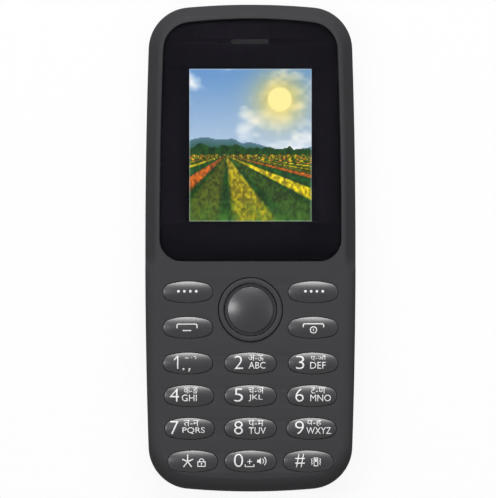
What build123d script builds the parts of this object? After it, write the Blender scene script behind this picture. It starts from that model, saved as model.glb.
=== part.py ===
"""Candy-bar feature phone with a 1.77 inch screen, as an assembly of its separate pieces.

Millimetres. The phone lies on its back: +Z is the side with the screen and keys, +Y the
earpiece end, +X the right-hand side. The origin is under the middle, on the back face.
"""

from build123d import *
import os

# Screen and its lens
active_width = 28.03
active_length = 35.04
screen_top_margin = 11.4
screen_bottom_margin = 9.1
lens_margin = 3.4
lens_thickness = 0.9
lens_corner_radius = 5.05
lens_gap = 0.1
adhesive_thickness = 0.15
adhesive_inset = 0.3
window_margin = 1.0
slot_length = 8.5
slot_width = 1.15
slot_to_lens_top = 5.2

# Keypad
side_key_length = 11.3
centre_key_length = 11.8
key_width = 4.92
key_end_radius = 1.9
key_crown_radius = 6.0
key_column_gap = 2.81
key_side_margin = 4.17
lens_to_soft_row = 7.11
soft_row_to_call_row = 8.16
call_row_to_digits = 8.18
key_row_pitch = 7.49
last_row_margin = 7.11
column_draw_shares = (1.0, 1.0, 1.0, 0.982, 0.973, 0.921)
key_gap = 0.15
key_rise = 0.7
key_foot_depth = 0.7

# Navigation ring and its centre key
nav_outer_radius = 7.42
nav_inner_radius = 6.15
nav_gap = 0.2
nav_rise = 0.3
nav_crown = 0.25
nav_bevel = 0.4
nav_carrier_lip = 0.55
nav_carrier_thickness = 0.2
nav_rocker_gap = 0.3
nav_rocker_length = 0.9
nav_dome_radius = 6.6
ok_skirt_radius = 5.95
ok_dome_radius = 5.32
ok_shoulder_drop = 0.5
ok_edge_height = 0.35
ok_bevel = 1.3
ok_bevel_rise = 0.45
ok_crown_radius = 2.0
ok_dome_rise = 0.75

# Silicone keypad mat, its actuators and the switches under them
mat_thickness = 0.5
mat_inset = 0.5
mat_lip = 1.7
mat_skirt = 0.8
mat_boss_gap = 0.4
actuator_size = 2.0
actuator_gap = 0.35
dome_size = 4.0
dome_height = 0.3
dome_bevel_width = 0.5
dome_bevel_height = 0.18
film_thickness = 0.08
film_gap = 0.3
led_length = 1.6
led_width = 0.8
led_height = 0.5
led_clearance = 0.2
led_column_x = 7.1

# Outline of the body
side_bulge = 1.07
end_bulge = 1.65
corner_radius = 9.8
front_edge_radius = 2.4
back_edge_radius = 4.5
inner_chamfer_share = 0.56

# Front housing
housing_wall = 1.4
deck_wall = 1.3
ledge_thickness = 0.7
ledge_lip = 0.8

# Rear frame and battery cover
cover_wall = 1.3
cover_gap = 0.2
frame_wall = 1.0
skin_thickness = 0.9
band_height = 0.9
band_inset = 0.15
rim_gap = 0.05
pry_length = 8.0
pry_depth = 1.0
pry_height = 0.8
pry_to_end = 20.0

# Battery and its bay
battery_width = 34.0
battery_length = 53.0
battery_thickness = 5.6
battery_edge_radius = 1.2
battery_to_end = 15.4
bay_clearance = 0.25
bay_gap = 0.1
bay_wall = 1.0
finger_radius = 7.0
finger_depth = 2.6

# Battery connector
contact_width = 9.0
contact_depth = 3.6
contact_height = 4.7
contact_setback = 0.5
contact_reach = 0.4
contact_blade_width = 0.9
contact_blade_height = 2.4
contact_blade_drop = 0.6
contact_pitch = 2.6

# Main board and the parts soldered to it
board_thickness = 0.8
board_gap = 0.5
board_clearance = 0.3
boss_clearance = 0.3
part_clearance = 0.1
sim_width = 16.0
sim_length = 22.0
sim_height = 1.1
sim_gap = 0.8
sim_to_bay_top = 3.0
card_width = 14.0
card_length = 15.0
card_to_sim = 3.0
socket_shell = 0.2
socket_rail = 1.0
window_clearance = 0.2
can_width = 20.0
can_to_bay = 6.5
can_to_jack = 5.5
can_height = 1.6
can_wall = 0.2
chip_width = 10.0
chip_to_can = 2.8
chip_height = 1.0

# Display module
tray_side_margin = 3.0
tray_top_margin = 2.8
tray_bottom_margin = 8.0
tray_floor = 0.9
tray_wall = 0.5
tray_lip = 1.0
panel_gap = 0.05
panel_thickness = 1.3
gasket_thickness = 0.6
gasket_inset = 0.3
gasket_margin = 1.4
flex_width = 12.0
flex_thickness = 0.12
flex_gap = 0.1
flex_to_mat = 0.4

# Earpiece
earpiece_length = 10.0
earpiece_width = 5.6
earpiece_height = 2.6
earpiece_mesh_lip = 0.7
earpiece_mesh_thickness = 0.1
earpiece_mesh_gap = 0.4

# Screws and the bosses and pillars that they join
screw_inset = 4.5
top_screw_to_end = 9.4
boss_radius = 1.7
pilot_radius = 0.85
pilot_spare = 0.3
pillar_size = 4.2
pillar_cap = 1.2
screw_shank_radius = 0.8
screw_hole_radius = 0.95
screw_head_radius = 1.5
screw_head_height = 1.1
screw_shank_length = 4.4
counterbore_radius = 1.65

# Ports in the two ends
port_drop = 3.0
top_island_width = 28.0
top_island_drop = 5.9
bottom_island_width = 26.0
bottom_island_drop = 4.1
island_gap = 0.15
jack_x = -10.5
jack_width = 6.4
jack_length = 12.2
jack_below = 2.6
jack_nose_radius = 2.3
jack_nose_recess = 0.4
jack_bore_radius = 1.8
jack_bore_end = 0.6
jack_nose_gap = 0.1
usb_width = 7.6
usb_height = 2.6
usb_length = 5.2
usb_corner_radius = 0.9
usb_shell = 0.35
usb_floor = 0.6
usb_tongue_width = 3.8
usb_tongue_height = 0.6
usb_tongue_length = 3.8
usb_recess = 0.6
usb_gap = 0.15
mic_x = 10.5
mic_width = 3.8
mic_length = 2.8
mic_height = 1.2
mic_gap = 0.3
mic_hole_radius = 0.5
mic_hole_drop = 0.7

# Torch
torch_radius = 2.2
torch_flange_radius = 2.7
torch_flange = 0.5
torch_gap = 0.05
torch_length = 3.0
torch_led_width = 3.4
torch_led_depth = 3.0
torch_led_below = 1.6
torch_led_radius = 1.4
torch_led_nose = 1.4
torch_led_gap = 0.2

# Camera
camera_x = 10.0
camera_to_end = 19.9
camera_size = 8.0
camera_barrel_radius = 3.1
camera_barrel_height = 1.7
camera_hole_radius = 2.6
camera_window_radius = 3.6
camera_window_thickness = 1.0
camera_window_gap = 0.25

# Loudspeaker
speaker_x = -7.0
speaker_to_bay = 14.5
speaker_radius = 7.5
speaker_thickness = 3.6
speaker_rim = 0.9
speaker_rim_height = 1.2
speaker_mesh_length = 10.0
speaker_mesh_width = 9.0
speaker_mesh_thickness = 0.15
speaker_mesh_lip = 0.8
speaker_mesh_drop = 0.05
grille_slots = 5
grille_slot_length = 8.0
grille_slot_width = 0.9
grille_pitch = 1.8

# Vibration motor
motor_x = 12.5
motor_to_end = 4.1
motor_radius = 2.0
motor_length = 6.5
motor_board_gap = 0.1
motor_foot_width = 3.4
motor_shaft_radius = 0.35
motor_bearing_radius = 0.4
motor_bearing_depth = 1.2
weight_radius = 1.85
weight_length = 3.0
weight_gap = 0.7
weight_hub_radius = 0.7

# Antenna
antenna_length = 30.0
antenna_width = 6.0
antenna_height = 2.6
antenna_to_bay = 4.3
antenna_strip_thickness = 0.15
antenna_strip_inset = 0.8
antenna_slot_width = 0.9
antenna_tab_width = 2.0

# One length by which every cut runs past what it cuts
overrun = 1.0

# Outer size, from the keys across and the screen and rows along
body_width = centre_key_length + 2 * (side_key_length + key_column_gap + key_side_margin)
screen_block = screen_top_margin + active_length + screen_bottom_margin
row_block = soft_row_to_call_row + call_row_to_digits + 3 * key_row_pitch
body_length = lens_margin + screen_block + lens_to_soft_row + row_block + last_row_margin
end_y = body_length / 2

# Heights, stacked up from the back
frame_inset = cover_wall + cover_gap
frame_back_z = cover_wall + cover_gap
bay_ceiling_z = frame_back_z + battery_thickness + bay_gap
board_z = bay_ceiling_z + sim_height
board_top_z = board_z + board_thickness
panel_z = board_top_z + tray_floor
gasket_z = panel_z + panel_thickness
ledge_z = gasket_z + gasket_thickness
lens_seat_z = ledge_z + ledge_thickness
face_z = lens_seat_z + adhesive_thickness + lens_thickness
deck_z = face_z - deck_wall
mat_top_z = deck_z - key_foot_depth
mat_web_z = mat_top_z - mat_thickness
key_top_z = face_z + key_rise
film_z = board_top_z + dome_height
skin_z = frame_back_z + skin_thickness
bay_floor_z = board_z - board_clearance
band_z = board_z - band_height
cover_top_z = band_z - rim_gap
screw_seat_z = board_z - pillar_cap
port_z = board_z - port_drop

# Places along the body
lens_top_y = end_y - lens_margin
active_top_y = lens_top_y - screen_top_margin
active_y = active_top_y - active_length / 2
lens_bottom_y = active_top_y - active_length - screen_bottom_margin
slot_y = lens_top_y - slot_to_lens_top
soft_row_y = lens_bottom_y - lens_to_soft_row
call_row_y = soft_row_y - soft_row_to_call_row
first_digits_y = call_row_y - call_row_to_digits
row_places = [soft_row_y, call_row_y] + [first_digits_y - i * key_row_pitch for i in range(4)]
nav_y = (soft_row_y + call_row_y) / 2
column_offset = centre_key_length / 2 + key_column_gap + side_key_length / 2
tray_top_y = active_top_y + tray_top_margin
tray_bottom_y = active_top_y - active_length - tray_bottom_margin
tray_width = active_width + 2 * tray_side_margin
battery_bottom_y = battery_to_end - end_y
battery_y = battery_bottom_y + battery_length / 2
bay_top_y = battery_bottom_y + battery_length + bay_clearance
bay_bottom_y = battery_bottom_y - bay_clearance
speaker_y = bay_top_y + speaker_to_bay
camera_y = end_y - camera_to_end
sim_y = bay_top_y - sim_to_bay_top - sim_length / 2
card_y = sim_y - sim_length / 2 - card_to_sim - card_length / 2
nav_carrier_radius = nav_outer_radius + nav_carrier_lip
mat_edge_y = nav_y + nav_carrier_radius + mat_lip
frame_hollow_inset = frame_inset + frame_wall
screw_x = body_width / 2 - screw_inset
screw_rows = (
    end_y - top_screw_to_end,
    (row_places[-1] + row_places[-2]) / 2,
)
screw_places = [(side * screw_x, y) for side in (-1, 1) for y in screw_rows]

# Names of the keys, row by row
key_rows = (
    ("softkey_left", None, "softkey_right"),
    ("call_key", None, "end_key"),
    ("key_1", "key_2", "key_3"),
    ("key_4", "key_5", "key_6"),
    ("key_7", "key_8", "key_9"),
    ("key_star", "key_0", "key_hash"),
)

UP = (0, 0, 1)
ON_FLOOR = (Align.CENTER, Align.CENTER, Align.MIN)


def prism(sketch, low, high):
    """The flat sketch carried straight up from one height to another."""
    return extrude(Pos(0, 0, low) * sketch, amount=high - low, dir=UP)


def block(x, y, width, length, low, high):
    """An upright box centred on x, y."""
    return Pos(x, y, low) * Box(width, length, high - low, align=ON_FLOOR)


def pin(x, y, radius, low, high):
    """An upright cylinder."""
    return Pos(x, y, low) * Cylinder(radius, high - low, align=ON_FLOOR)


def rod(x, z, radius, start, end):
    """A cylinder along Y, from one end's y to the other's."""
    return Pos(x, start, z) * Rotation(-90, 0, 0) * Cylinder(radius, end - start, align=ON_FLOOR)


def body_outline(inset=0.0):
    """The body's plan: two long and two short arcs with rounded corners, set in evenly."""
    half_width = body_width / 2 - inset
    half_length = end_y - inset
    corner_x = half_width - side_bulge
    corner_y = half_length - end_bulge
    corners = [(corner_x, corner_y), (-corner_x, corner_y), (-corner_x, -corner_y), (corner_x, -corner_y)]
    crowns = [(0, half_length), (-half_width, 0), (0, -half_length), (half_width, 0)]
    ends = corners[1:] + corners[:1]
    face = make_face([ThreePointArc(a, crown, b) for a, crown, b in zip(corners, crowns, ends)])
    return fillet(face.vertices(), corner_radius - inset)


def lens_outline(grow=0.0):
    """The display lens's plan: the body's plan set in, cut straight across under the screen."""
    below = lens_bottom_y - grow
    kept = Pos(0, below + body_length / 2) * Rectangle(body_width, body_length)
    plan = body_outline(lens_margin - grow) & kept
    return fillet(plan.vertices().group_by(Axis.Y)[0], lens_corner_radius + grow)


def key_outline(length, grow=0.0):
    """An oval of two flat arcs and two tight end arcs that meet without a corner."""
    half_length = length / 2 + grow
    half_width = key_width / 2 + grow
    end_radius = key_end_radius + grow
    centre = half_length - end_radius
    flat_radius = (centre**2 + half_width**2 - end_radius**2) / (2 * (half_width - end_radius))
    reach = end_radius / (flat_radius - end_radius)
    meet_x = centre + reach * centre
    meet_y = reach * (flat_radius - half_width)
    return make_face(
        [
            ThreePointArc((-meet_x, meet_y), (0, half_width), (meet_x, meet_y)),
            ThreePointArc((meet_x, meet_y), (half_length, 0), (meet_x, -meet_y)),
            ThreePointArc((meet_x, -meet_y), (0, -half_width), (-meet_x, -meet_y)),
            ThreePointArc((-meet_x, -meet_y), (-half_length, 0), (-meet_x, meet_y)),
        ]
    )


def key_places():
    """Each key's name, x, y and length."""
    found = []
    for names, y, share in zip(key_rows, row_places, column_draw_shares):
        for side, name in zip((-1, 0, 1), names):
            if name:
                length = side_key_length if side else centre_key_length
                found.append((name, side * share * column_offset, y, length))
    return found


def body_blank():
    """The whole body as one block with rounded front and back edges."""
    blank = prism(body_outline(), 0, face_z)
    blank = fillet(blank.edges().group_by(Axis.Z)[-1], front_edge_radius)
    return fillet(blank.edges().group_by(Axis.Z)[0], back_edge_radius)


def between(low, high):
    """A slab that covers the whole plan between two heights."""
    return block(0, 0, body_width + overrun, body_length + overrun, low, high)


def tub(inset, low, high):
    """The plan set in and carried up, with its lower edge bevelled to follow the rounded back."""
    shape = prism(body_outline(inset), low, high)
    bevel = inner_chamfer_share * (back_edge_radius - cover_wall)
    return chamfer(shape.edges().group_by(Axis.Z)[0], bevel)


def front_housing():
    """Front shell: side walls, key deck, display ledge and screw bosses."""
    blank = body_blank()
    shell = blank & between(board_z, face_z)
    shell -= prism(body_outline(housing_wall), board_z - overrun, deck_z)
    shell += prism(lens_outline(ledge_lip), ledge_z, face_z) & blank
    shell -= prism(lens_outline(lens_gap), lens_seat_z, face_z + overrun)
    window_width = active_width + 2 * window_margin
    window_length = active_length + 2 * window_margin
    shell -= block(0, active_y, window_width, window_length, ledge_z - overrun, face_z)
    shell -= prism(Pos(0, slot_y) * SlotOverall(slot_length, slot_width), ledge_z - overrun, face_z)
    for x, y in screw_places:
        shell += pin(x, y, boss_radius, board_z, deck_z) & blank
    pilot_end_z = screw_seat_z + screw_shank_length + pilot_spare
    for x, y in screw_places:
        shell -= pin(x, y, pilot_radius, board_z - overrun, pilot_end_z)
    for name, x, y, length in key_places():
        shell -= prism(Pos(x, y) * key_outline(length, key_gap), deck_z - overrun, face_z + overrun)
    shell -= pin(0, nav_y, nav_outer_radius + nav_gap, deck_z - overrun, face_z + overrun)
    return shell


def display_lens():
    """Clear lens over screen and bezel, with the earpiece slot."""
    lens = prism(lens_outline(), lens_seat_z + adhesive_thickness, face_z)
    slot = Pos(0, slot_y) * SlotOverall(slot_length, slot_width)
    return lens - prism(slot, lens_seat_z, face_z + overrun)


def lens_adhesive():
    """Double-sided tape that holds the lens in its recess."""
    tape = prism(lens_outline(-adhesive_inset), lens_seat_z, lens_seat_z + adhesive_thickness)
    width = active_width + 2 * (window_margin + adhesive_inset)
    length = active_length + 2 * (window_margin + adhesive_inset)
    tape -= block(0, active_y, width, length, lens_seat_z - overrun, face_z)
    mesh_length, mesh_width = earpiece_mesh_plan()
    room = 2 * earpiece_mesh_gap
    return tape - block(0, slot_y, mesh_length + room, mesh_width + room, lens_seat_z - overrun, face_z)


def earpiece_mesh_plan():
    """Length and width of the mesh behind the earpiece slot."""
    return slot_length + 2 * earpiece_mesh_lip, slot_width + 2 * earpiece_mesh_lip


def earpiece_mesh():
    """Dust mesh on the ledge, behind the slot."""
    length, width = earpiece_mesh_plan()
    return block(0, slot_y, length, width, lens_seat_z, lens_seat_z + earpiece_mesh_thickness)


def earpiece_receiver():
    """Small flat speaker glued under the ledge, behind the slot."""
    return block(0, slot_y, earpiece_length, earpiece_width, ledge_z - earpiece_height, ledge_z)


def tray_centre():
    """Middle and length of the display module along the body."""
    return (tray_top_y + tray_bottom_y) / 2, tray_top_y - tray_bottom_y


def lcd_tray():
    """Backlight tray that carries the display panel on the main board."""
    y, length = tray_centre()
    tray = block(0, y, tray_width, length, board_top_z, panel_z + tray_lip)
    inner_width = tray_width - 2 * tray_wall
    inner_length = length - 2 * tray_wall
    return tray - block(0, y, inner_width, inner_length, panel_z, panel_z + tray_lip + overrun)


def panel_plan():
    """Width and length of the display panel, inside its tray."""
    y, length = tray_centre()
    room = 2 * (tray_wall + panel_gap)
    return tray_width - room, length - room


def lcd_panel():
    """Display glass."""
    width, length = panel_plan()
    return block(0, tray_centre()[0], width, length, panel_z, gasket_z)


def display_gasket():
    """Foam frame between the display glass and the housing's ledge."""
    width, length = panel_plan()
    rim = 2 * gasket_inset
    foam = block(0, tray_centre()[0], width - rim, length - rim, gasket_z, ledge_z)
    open_width = active_width + 2 * gasket_margin
    open_length = active_length + 2 * gasket_margin
    return foam - block(0, active_y, open_width, open_length, gasket_z - overrun, ledge_z + overrun)


def lcd_flex():
    """Flexible connection, from the end of the display module down on to the board."""
    end = tray_bottom_y - flex_gap
    reach = end - mat_edge_y - flex_to_mat
    foot = block(0, end - reach / 2, flex_width, reach, board_top_z, board_top_z + flex_thickness)
    rise = block(0, end - flex_thickness / 2, flex_width, flex_thickness, board_top_z, panel_z + tray_lip)
    return foot + rise


def key_cap(length, x, y):
    """Hard oval cap, bonded to the mat, with a face that is round from front to back."""
    cap = prism(key_outline(length), mat_top_z, key_top_z)
    crown = Cylinder(key_crown_radius, length + overrun, rotation=(0, 90, 0))
    return Pos(x, y) * (cap & Pos(0, 0, key_top_z - key_crown_radius) * crown)


def nav_ring():
    """Navigation ring: flat foot, straight sides and a face bevelled both ways."""
    foot = mat_top_z + nav_carrier_thickness + nav_rocker_gap
    shoulder = face_z + nav_rise
    profile = Polyline(
        (nav_inner_radius, foot),
        (nav_outer_radius, foot),
        (nav_outer_radius, shoulder),
        (nav_outer_radius - nav_bevel, shoulder + nav_crown),
        (nav_inner_radius + nav_bevel, shoulder + nav_crown),
        (nav_inner_radius, shoulder),
        close=True,
    )
    return Pos(0, nav_y) * revolve(Plane.XZ * make_face(profile), Axis.Z)


def nav_carrier():
    """Plate under the ring, with two rocker ribs that the ring tilts on."""
    top = mat_top_z + nav_carrier_thickness
    plate = pin(0, nav_y, nav_carrier_radius, mat_top_z, top)
    plate -= pin(0, nav_y, nav_inner_radius, mat_top_z - overrun, top + overrun)
    middle = (nav_inner_radius + nav_outer_radius) / 2
    ridge = Polyline((-nav_rocker_gap, 0), (nav_rocker_gap, 0), (0, nav_rocker_gap), close=True)
    for side in (-1, 1):
        start = side * middle - nav_rocker_length / 2
        section = Plane((start, nav_y, top), x_dir=(0, 1, 0), z_dir=(1, 0, 0)) * make_face(ridge)
        plate += extrude(section, amount=nav_rocker_length, dir=(1, 0, 0))
    return plate


def ok_key():
    """Centre key: a low skirt inside the ring and a face that rises in bevels."""
    skirt_z = face_z - ok_shoulder_drop
    dome_z = face_z + ok_edge_height
    profile = Polyline(
        (0, mat_top_z),
        (ok_skirt_radius, mat_top_z),
        (ok_skirt_radius, skirt_z),
        (ok_dome_radius, skirt_z),
        (ok_dome_radius, dome_z),
        (ok_dome_radius - ok_bevel, dome_z + ok_bevel_rise),
        (ok_crown_radius, dome_z + ok_dome_rise),
        (0, dome_z + ok_dome_rise),
        close=True,
    )
    return Pos(0, nav_y) * revolve(Plane.XZ * make_face(profile), Axis.Z)


def boss_notch(x, y, room):
    """Plan of a notch round a screw boss, open to the side wall."""
    reach = body_width / 2 - abs(x) + room
    side = 1 if x > 0 else -1
    return Pos(x + side * (reach / 2 - room), y) * Rectangle(reach, 2 * room)


def mat_outline(shrink=0.0):
    """The keypad mat's plan: inside the housing, below the display, clear of the bosses."""
    edge = mat_edge_y - shrink
    kept = Pos(0, edge - body_length / 2) * Rectangle(body_width, body_length)
    plan = body_outline(housing_wall + mat_inset + shrink) & kept
    for x, y in screw_places:
        plan -= boss_notch(x, y, boss_radius + mat_boss_gap + shrink)
    return plan


def switch_places():
    """Every switch: one under each key, one under the centre key, four under the ring."""
    found = [(x, y) for name, x, y, length in key_places()]
    found.append((0, nav_y))
    found += [(side * nav_dome_radius, nav_y) for side in (-1, 1)]
    found += [(0, nav_y + side * nav_dome_radius) for side in (-1, 1)]
    return found


def keypad_mat():
    """Silicone mat: web, skirt down to the board and an actuator over each switch."""
    mat = prism(mat_outline(), board_top_z, mat_top_z)
    mat -= prism(mat_outline(mat_skirt), board_top_z - overrun, mat_web_z)
    foot = film_z + film_thickness + actuator_gap
    for x, y in switch_places():
        mat += block(x, y, actuator_size, actuator_size, foot, mat_web_z)
    return mat


def metal_domes():
    """Snap domes on the board, one for each switch."""
    dome = Box(dome_size, dome_size, dome_height, align=ON_FLOOR)
    top = dome.faces().sort_by(Axis.Z)[-1]
    dome = chamfer(top.edges(), dome_bevel_width, dome_bevel_height, reference=top)
    return Compound([Pos(x, y, board_top_z) * dome for x, y in switch_places()])


def led_places():
    """The keypad lights, between the columns."""
    rows = [(row_places[i] + row_places[i + 1]) / 2 for i in (2, 4)]
    return [(side * led_column_x, y) for side in (-1, 1) for y in rows]


def dome_sheet():
    """Film that lies over the domes, open at the keypad lights."""
    film = prism(mat_outline(mat_skirt + film_gap), film_z, film_z + film_thickness)
    for x, y in led_places():
        room = 2 * led_clearance
        film -= block(x, y, led_length + room, led_width + room, film_z - overrun, film_z + overrun)
    return film


def keypad_leds():
    """Lights that shine through the keypad."""
    top = board_top_z + led_height
    return Compound([block(x, y, led_length, led_width, board_top_z, top) for x, y in led_places()])


def main_board():
    """Circuit board, notched round the bosses."""
    board = prism(body_outline(housing_wall + board_gap), board_z, board_top_z)
    for x, y in screw_places:
        board -= prism(boss_notch(x, y, boss_radius + boss_clearance), board_z - overrun, face_z)
    return board


def socket(x, y, width, length, height):
    """Card socket: a bent shell under the board with a slot open towards the -Y end."""
    low = board_z - height
    shell = block(x, y, width, length, low, board_z)
    slot_low = low + socket_shell
    return shell - block(x, y - socket_rail, width - 2 * socket_rail, length, slot_low, slot_low + sim_gap)


def sim_places():
    """The two SIM sockets, side by side in the battery bay."""
    return [(side * (sim_width + window_clearance) / 2, sim_y) for side in (-1, 1)]


def can_span():
    """Where the can starts and ends along the body, between the battery bay and the headphone jack."""
    return bay_top_y + can_to_bay, jack_front_y() - jack_length - can_to_jack


def shield_can():
    """Pressed steel can over the processor, on the back of the board."""
    low = board_z - can_height
    start, end = can_span()
    y = (start + end) / 2
    can = block(speaker_x, y, can_width, end - start, low, board_z)
    width = can_width - 2 * can_wall
    length = end - start - 2 * can_wall
    return can - block(speaker_x, y, width, length, low + can_wall, board_z + overrun)


def baseband_chip():
    """Processor inside the can."""
    start, end = can_span()
    length = end - start - 2 * (can_wall + chip_to_can)
    return block(speaker_x, (start + end) / 2, chip_width, length, board_z - chip_height, board_z)


def contact_block():
    """Insulator of the battery connector."""
    y = bay_top_y + contact_setback + contact_depth / 2
    return block(0, y, contact_width, contact_depth, board_z - contact_height, board_z)


def battery_contacts():
    """Three sprung blades that reach towards the battery."""
    y = bay_top_y + contact_setback - contact_reach / 2
    low = board_z - contact_height + contact_blade_drop
    high = low + contact_blade_height
    places = [i * contact_pitch for i in (-1, 0, 1)]
    return Compound([block(x, y, contact_blade_width, contact_reach, low, high) for x in places])


def battery():
    """Rectangular lithium pack with rounded upright edges."""
    pack = block(0, battery_y, battery_width, battery_length, frame_back_z, frame_back_z + battery_thickness)
    return fillet(pack.edges().filter_by(Axis.Z), battery_edge_radius)


def screw_pillar(x, y):
    """Pillar of the rear frame that a screw passes through."""
    pillar = block(x, y, pillar_size, pillar_size, frame_back_z, board_z)
    return pillar & tub(frame_inset, frame_back_z, board_z)


def island(width, drop, end, grow=0.0):
    """Part of an end wall, flush with the body, that holds the ports."""
    low = board_z - drop - grow
    return block(0, end * end_y, width + 2 * grow, corner_radius, low, band_z)


def rear_frame():
    """Moulded frame behind the board: battery bay, wells, pillars, parting band and port walls."""
    blank = body_blank()
    frame = tub(frame_inset, frame_back_z, board_z)
    frame += prism(body_outline(band_inset), band_z, board_z)
    ends = ((top_island_width, top_island_drop, 1), (bottom_island_width, bottom_island_drop, -1))
    for width, drop, end in ends:
        frame += island(width, drop, end) & blank & between(frame_back_z, band_z)
    bay_y = (bay_top_y + bay_bottom_y) / 2
    bay_width = battery_width + 2 * (bay_clearance + bay_wall)
    bay_length = bay_top_y - bay_bottom_y + 2 * bay_wall
    bay = block(0, bay_y, bay_width, bay_length, frame_back_z, bay_floor_z)
    hollow = tub(frame_hollow_inset, skin_z, board_z + overrun) - bay
    for x, y in screw_places:
        hollow -= screw_pillar(x, y)
    frame -= hollow
    pocket_width = battery_width + 2 * bay_clearance
    pocket_length = bay_top_y - bay_bottom_y
    frame -= block(0, bay_y, pocket_width, pocket_length, 0, bay_ceiling_z)
    frame -= pin(0, bay_bottom_y, finger_radius, 0, frame_back_z + finger_depth)
    for x, y in screw_places:
        frame -= pin(x, y, counterbore_radius, 0, screw_seat_z)
        frame -= pin(x, y, screw_hole_radius, 0, board_z + overrun)
    room = 2 * window_clearance
    for x, y in sim_places():
        frame -= block(x, y, sim_width + room, sim_length + room, bay_ceiling_z - overrun, board_z)
    frame -= block(0, card_y, card_width + room, card_length + room, bay_ceiling_z - overrun, board_z)
    y = bay_top_y + contact_setback + contact_depth / 2
    low = board_z - contact_height - part_clearance
    frame -= block(0, y, contact_width + room, contact_depth + room, low, board_z)
    frame -= block(0, bay_top_y, contact_width + room, 2 * contact_setback, low, board_z)
    frame -= pin(camera_x, camera_y, camera_hole_radius, 0, board_z)
    mesh_room = 2 * part_clearance
    length = speaker_mesh_length + mesh_room
    width = speaker_mesh_width + mesh_room
    frame -= block(speaker_x, speaker_y, length, width, 0, speaker_mesh_top())
    open_length = speaker_mesh_length - 2 * speaker_mesh_lip
    open_width = speaker_mesh_width - 2 * speaker_mesh_lip
    frame -= block(speaker_x, speaker_y, open_length, open_width, 0, skin_z + overrun)
    frame -= rod(jack_x, port_z, jack_nose_radius + jack_nose_gap, jack_front_y() - overrun, end_y)
    frame -= jack_body(part_clearance)
    frame -= rod(0, port_z, torch_radius + torch_gap, torch_back_y(), end_y + overrun)
    frame -= rod(0, port_z, torch_flange_radius + torch_gap, torch_back_y() - overrun, torch_step_y())
    frame -= usb_plan(usb_gap, -end_y - overrun, usb_length + usb_recess + 2 * overrun)
    frame -= rod(mic_x, board_z - mic_hole_drop, mic_hole_radius, -end_y - overrun, mic_front_y())
    low = board_z - mic_height - part_clearance
    frame -= block(mic_x, mic_front_y() + mic_length / 2, mic_width + room, mic_length + room, low, board_z)
    return frame


def jack_front_y():
    """Front of the jack's body, just inside the end wall at its outer corner."""
    across = abs(jack_x) + jack_width / 2
    sag = end_bulge * (across / (body_width / 2)) ** 2
    return end_y - frame_hollow_inset - sag - part_clearance


def jack_body(grow=0.0):
    """Box of the headphone jack."""
    y = jack_front_y() - jack_length / 2
    room = 2 * grow
    low = port_z - jack_below - grow
    return block(jack_x, y, jack_width + room, jack_length + room, low, board_z)


def headphone_jack():
    """3.5 mm socket: body, round nose in the end wall and a blind bore."""
    nose_end = end_y - end_bulge * (jack_x / (body_width / 2)) ** 2 - jack_nose_recess
    front = jack_front_y()
    jack = jack_body() + rod(jack_x, port_z, jack_nose_radius, front - overrun, nose_end)
    bore_start = front - jack_length + jack_bore_end
    return jack - rod(jack_x, port_z, jack_bore_radius, bore_start, nose_end + overrun)


def usb_plan(grow, start, length):
    """Rounded box of the charging port, along Y."""
    room = 2 * grow
    outline = RectangleRounded(usb_width + room, usb_height + room, usb_corner_radius + grow)
    middle = board_z - usb_height / 2
    return extrude(Pos(0, start, middle) * Rotation(90, 0, 0) * outline, amount=length, dir=(0, 1, 0))


def charge_port():
    """Micro-USB socket: rounded steel shell open at its mouth, with a tongue inside."""
    mouth = usb_recess - end_y
    port = usb_plan(0, mouth, usb_length)
    port -= usb_plan(-usb_shell, mouth - overrun, usb_length - usb_floor + overrun)
    middle = board_z - usb_height / 2
    tongue_y = mouth + usb_length - usb_floor - usb_tongue_length / 2
    low = middle - usb_tongue_height / 2
    return port + block(0, tongue_y, usb_tongue_width, usb_tongue_length, low, low + usb_tongue_height)


def mic_front_y():
    """Front face of the microphone, inside the bottom end wall."""
    sag = end_bulge * ((mic_x + mic_width / 2) / (body_width / 2)) ** 2
    return frame_hollow_inset + sag + mic_gap - end_y


def microphone():
    """Microphone on the back of the board, behind its hole."""
    y = mic_front_y() + mic_length / 2
    return block(mic_x, y, mic_width, mic_length, board_z - mic_height, board_z)


def torch_step_y():
    """Face of the end wall that the torch lens's flange rests against."""
    return end_y - frame_hollow_inset - part_clearance


def torch_back_y():
    """Inner face of the torch lens."""
    return torch_step_y() - torch_flange


def torch_lens():
    """Clear barrel through the end wall, with a flange behind it."""
    flange = rod(0, port_z, torch_flange_radius, torch_back_y(), torch_step_y())
    return flange + rod(0, port_z, torch_radius, torch_back_y(), torch_back_y() + torch_length)


def torch_led():
    """Torch light: its holder on the board and a round emitter that faces the lens."""
    front = torch_back_y() - torch_led_gap - torch_led_nose
    low = port_z - torch_led_below
    holder = block(0, front - torch_led_depth / 2, torch_led_width, torch_led_depth, low, board_z)
    return holder + rod(0, port_z, torch_led_radius, front - overrun, front + torch_led_nose)


def camera_module():
    """Camera on the back of the board: square base and round barrel."""
    barrel_low = skin_z + part_clearance
    base_low = barrel_low + camera_barrel_height
    base = block(camera_x, camera_y, camera_size, camera_size, base_low, board_z)
    return base + pin(camera_x, camera_y, camera_barrel_radius, barrel_low, base_low)


def camera_window():
    """Clear disc on the frame, in the cover's camera hole."""
    return pin(camera_x, camera_y, camera_window_radius, frame_back_z - camera_window_thickness, frame_back_z)


def loudspeaker():
    """Round speaker that sits on the frame's skin, with a stepped basket."""
    rim = pin(speaker_x, speaker_y, speaker_radius, skin_z, skin_z + speaker_rim_height)
    return rim + pin(speaker_x, speaker_y, speaker_radius - speaker_rim, skin_z, skin_z + speaker_thickness)


def speaker_mesh_top():
    """Height of the bottom of the mesh's recess."""
    return frame_back_z + speaker_mesh_thickness + speaker_mesh_drop


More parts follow.
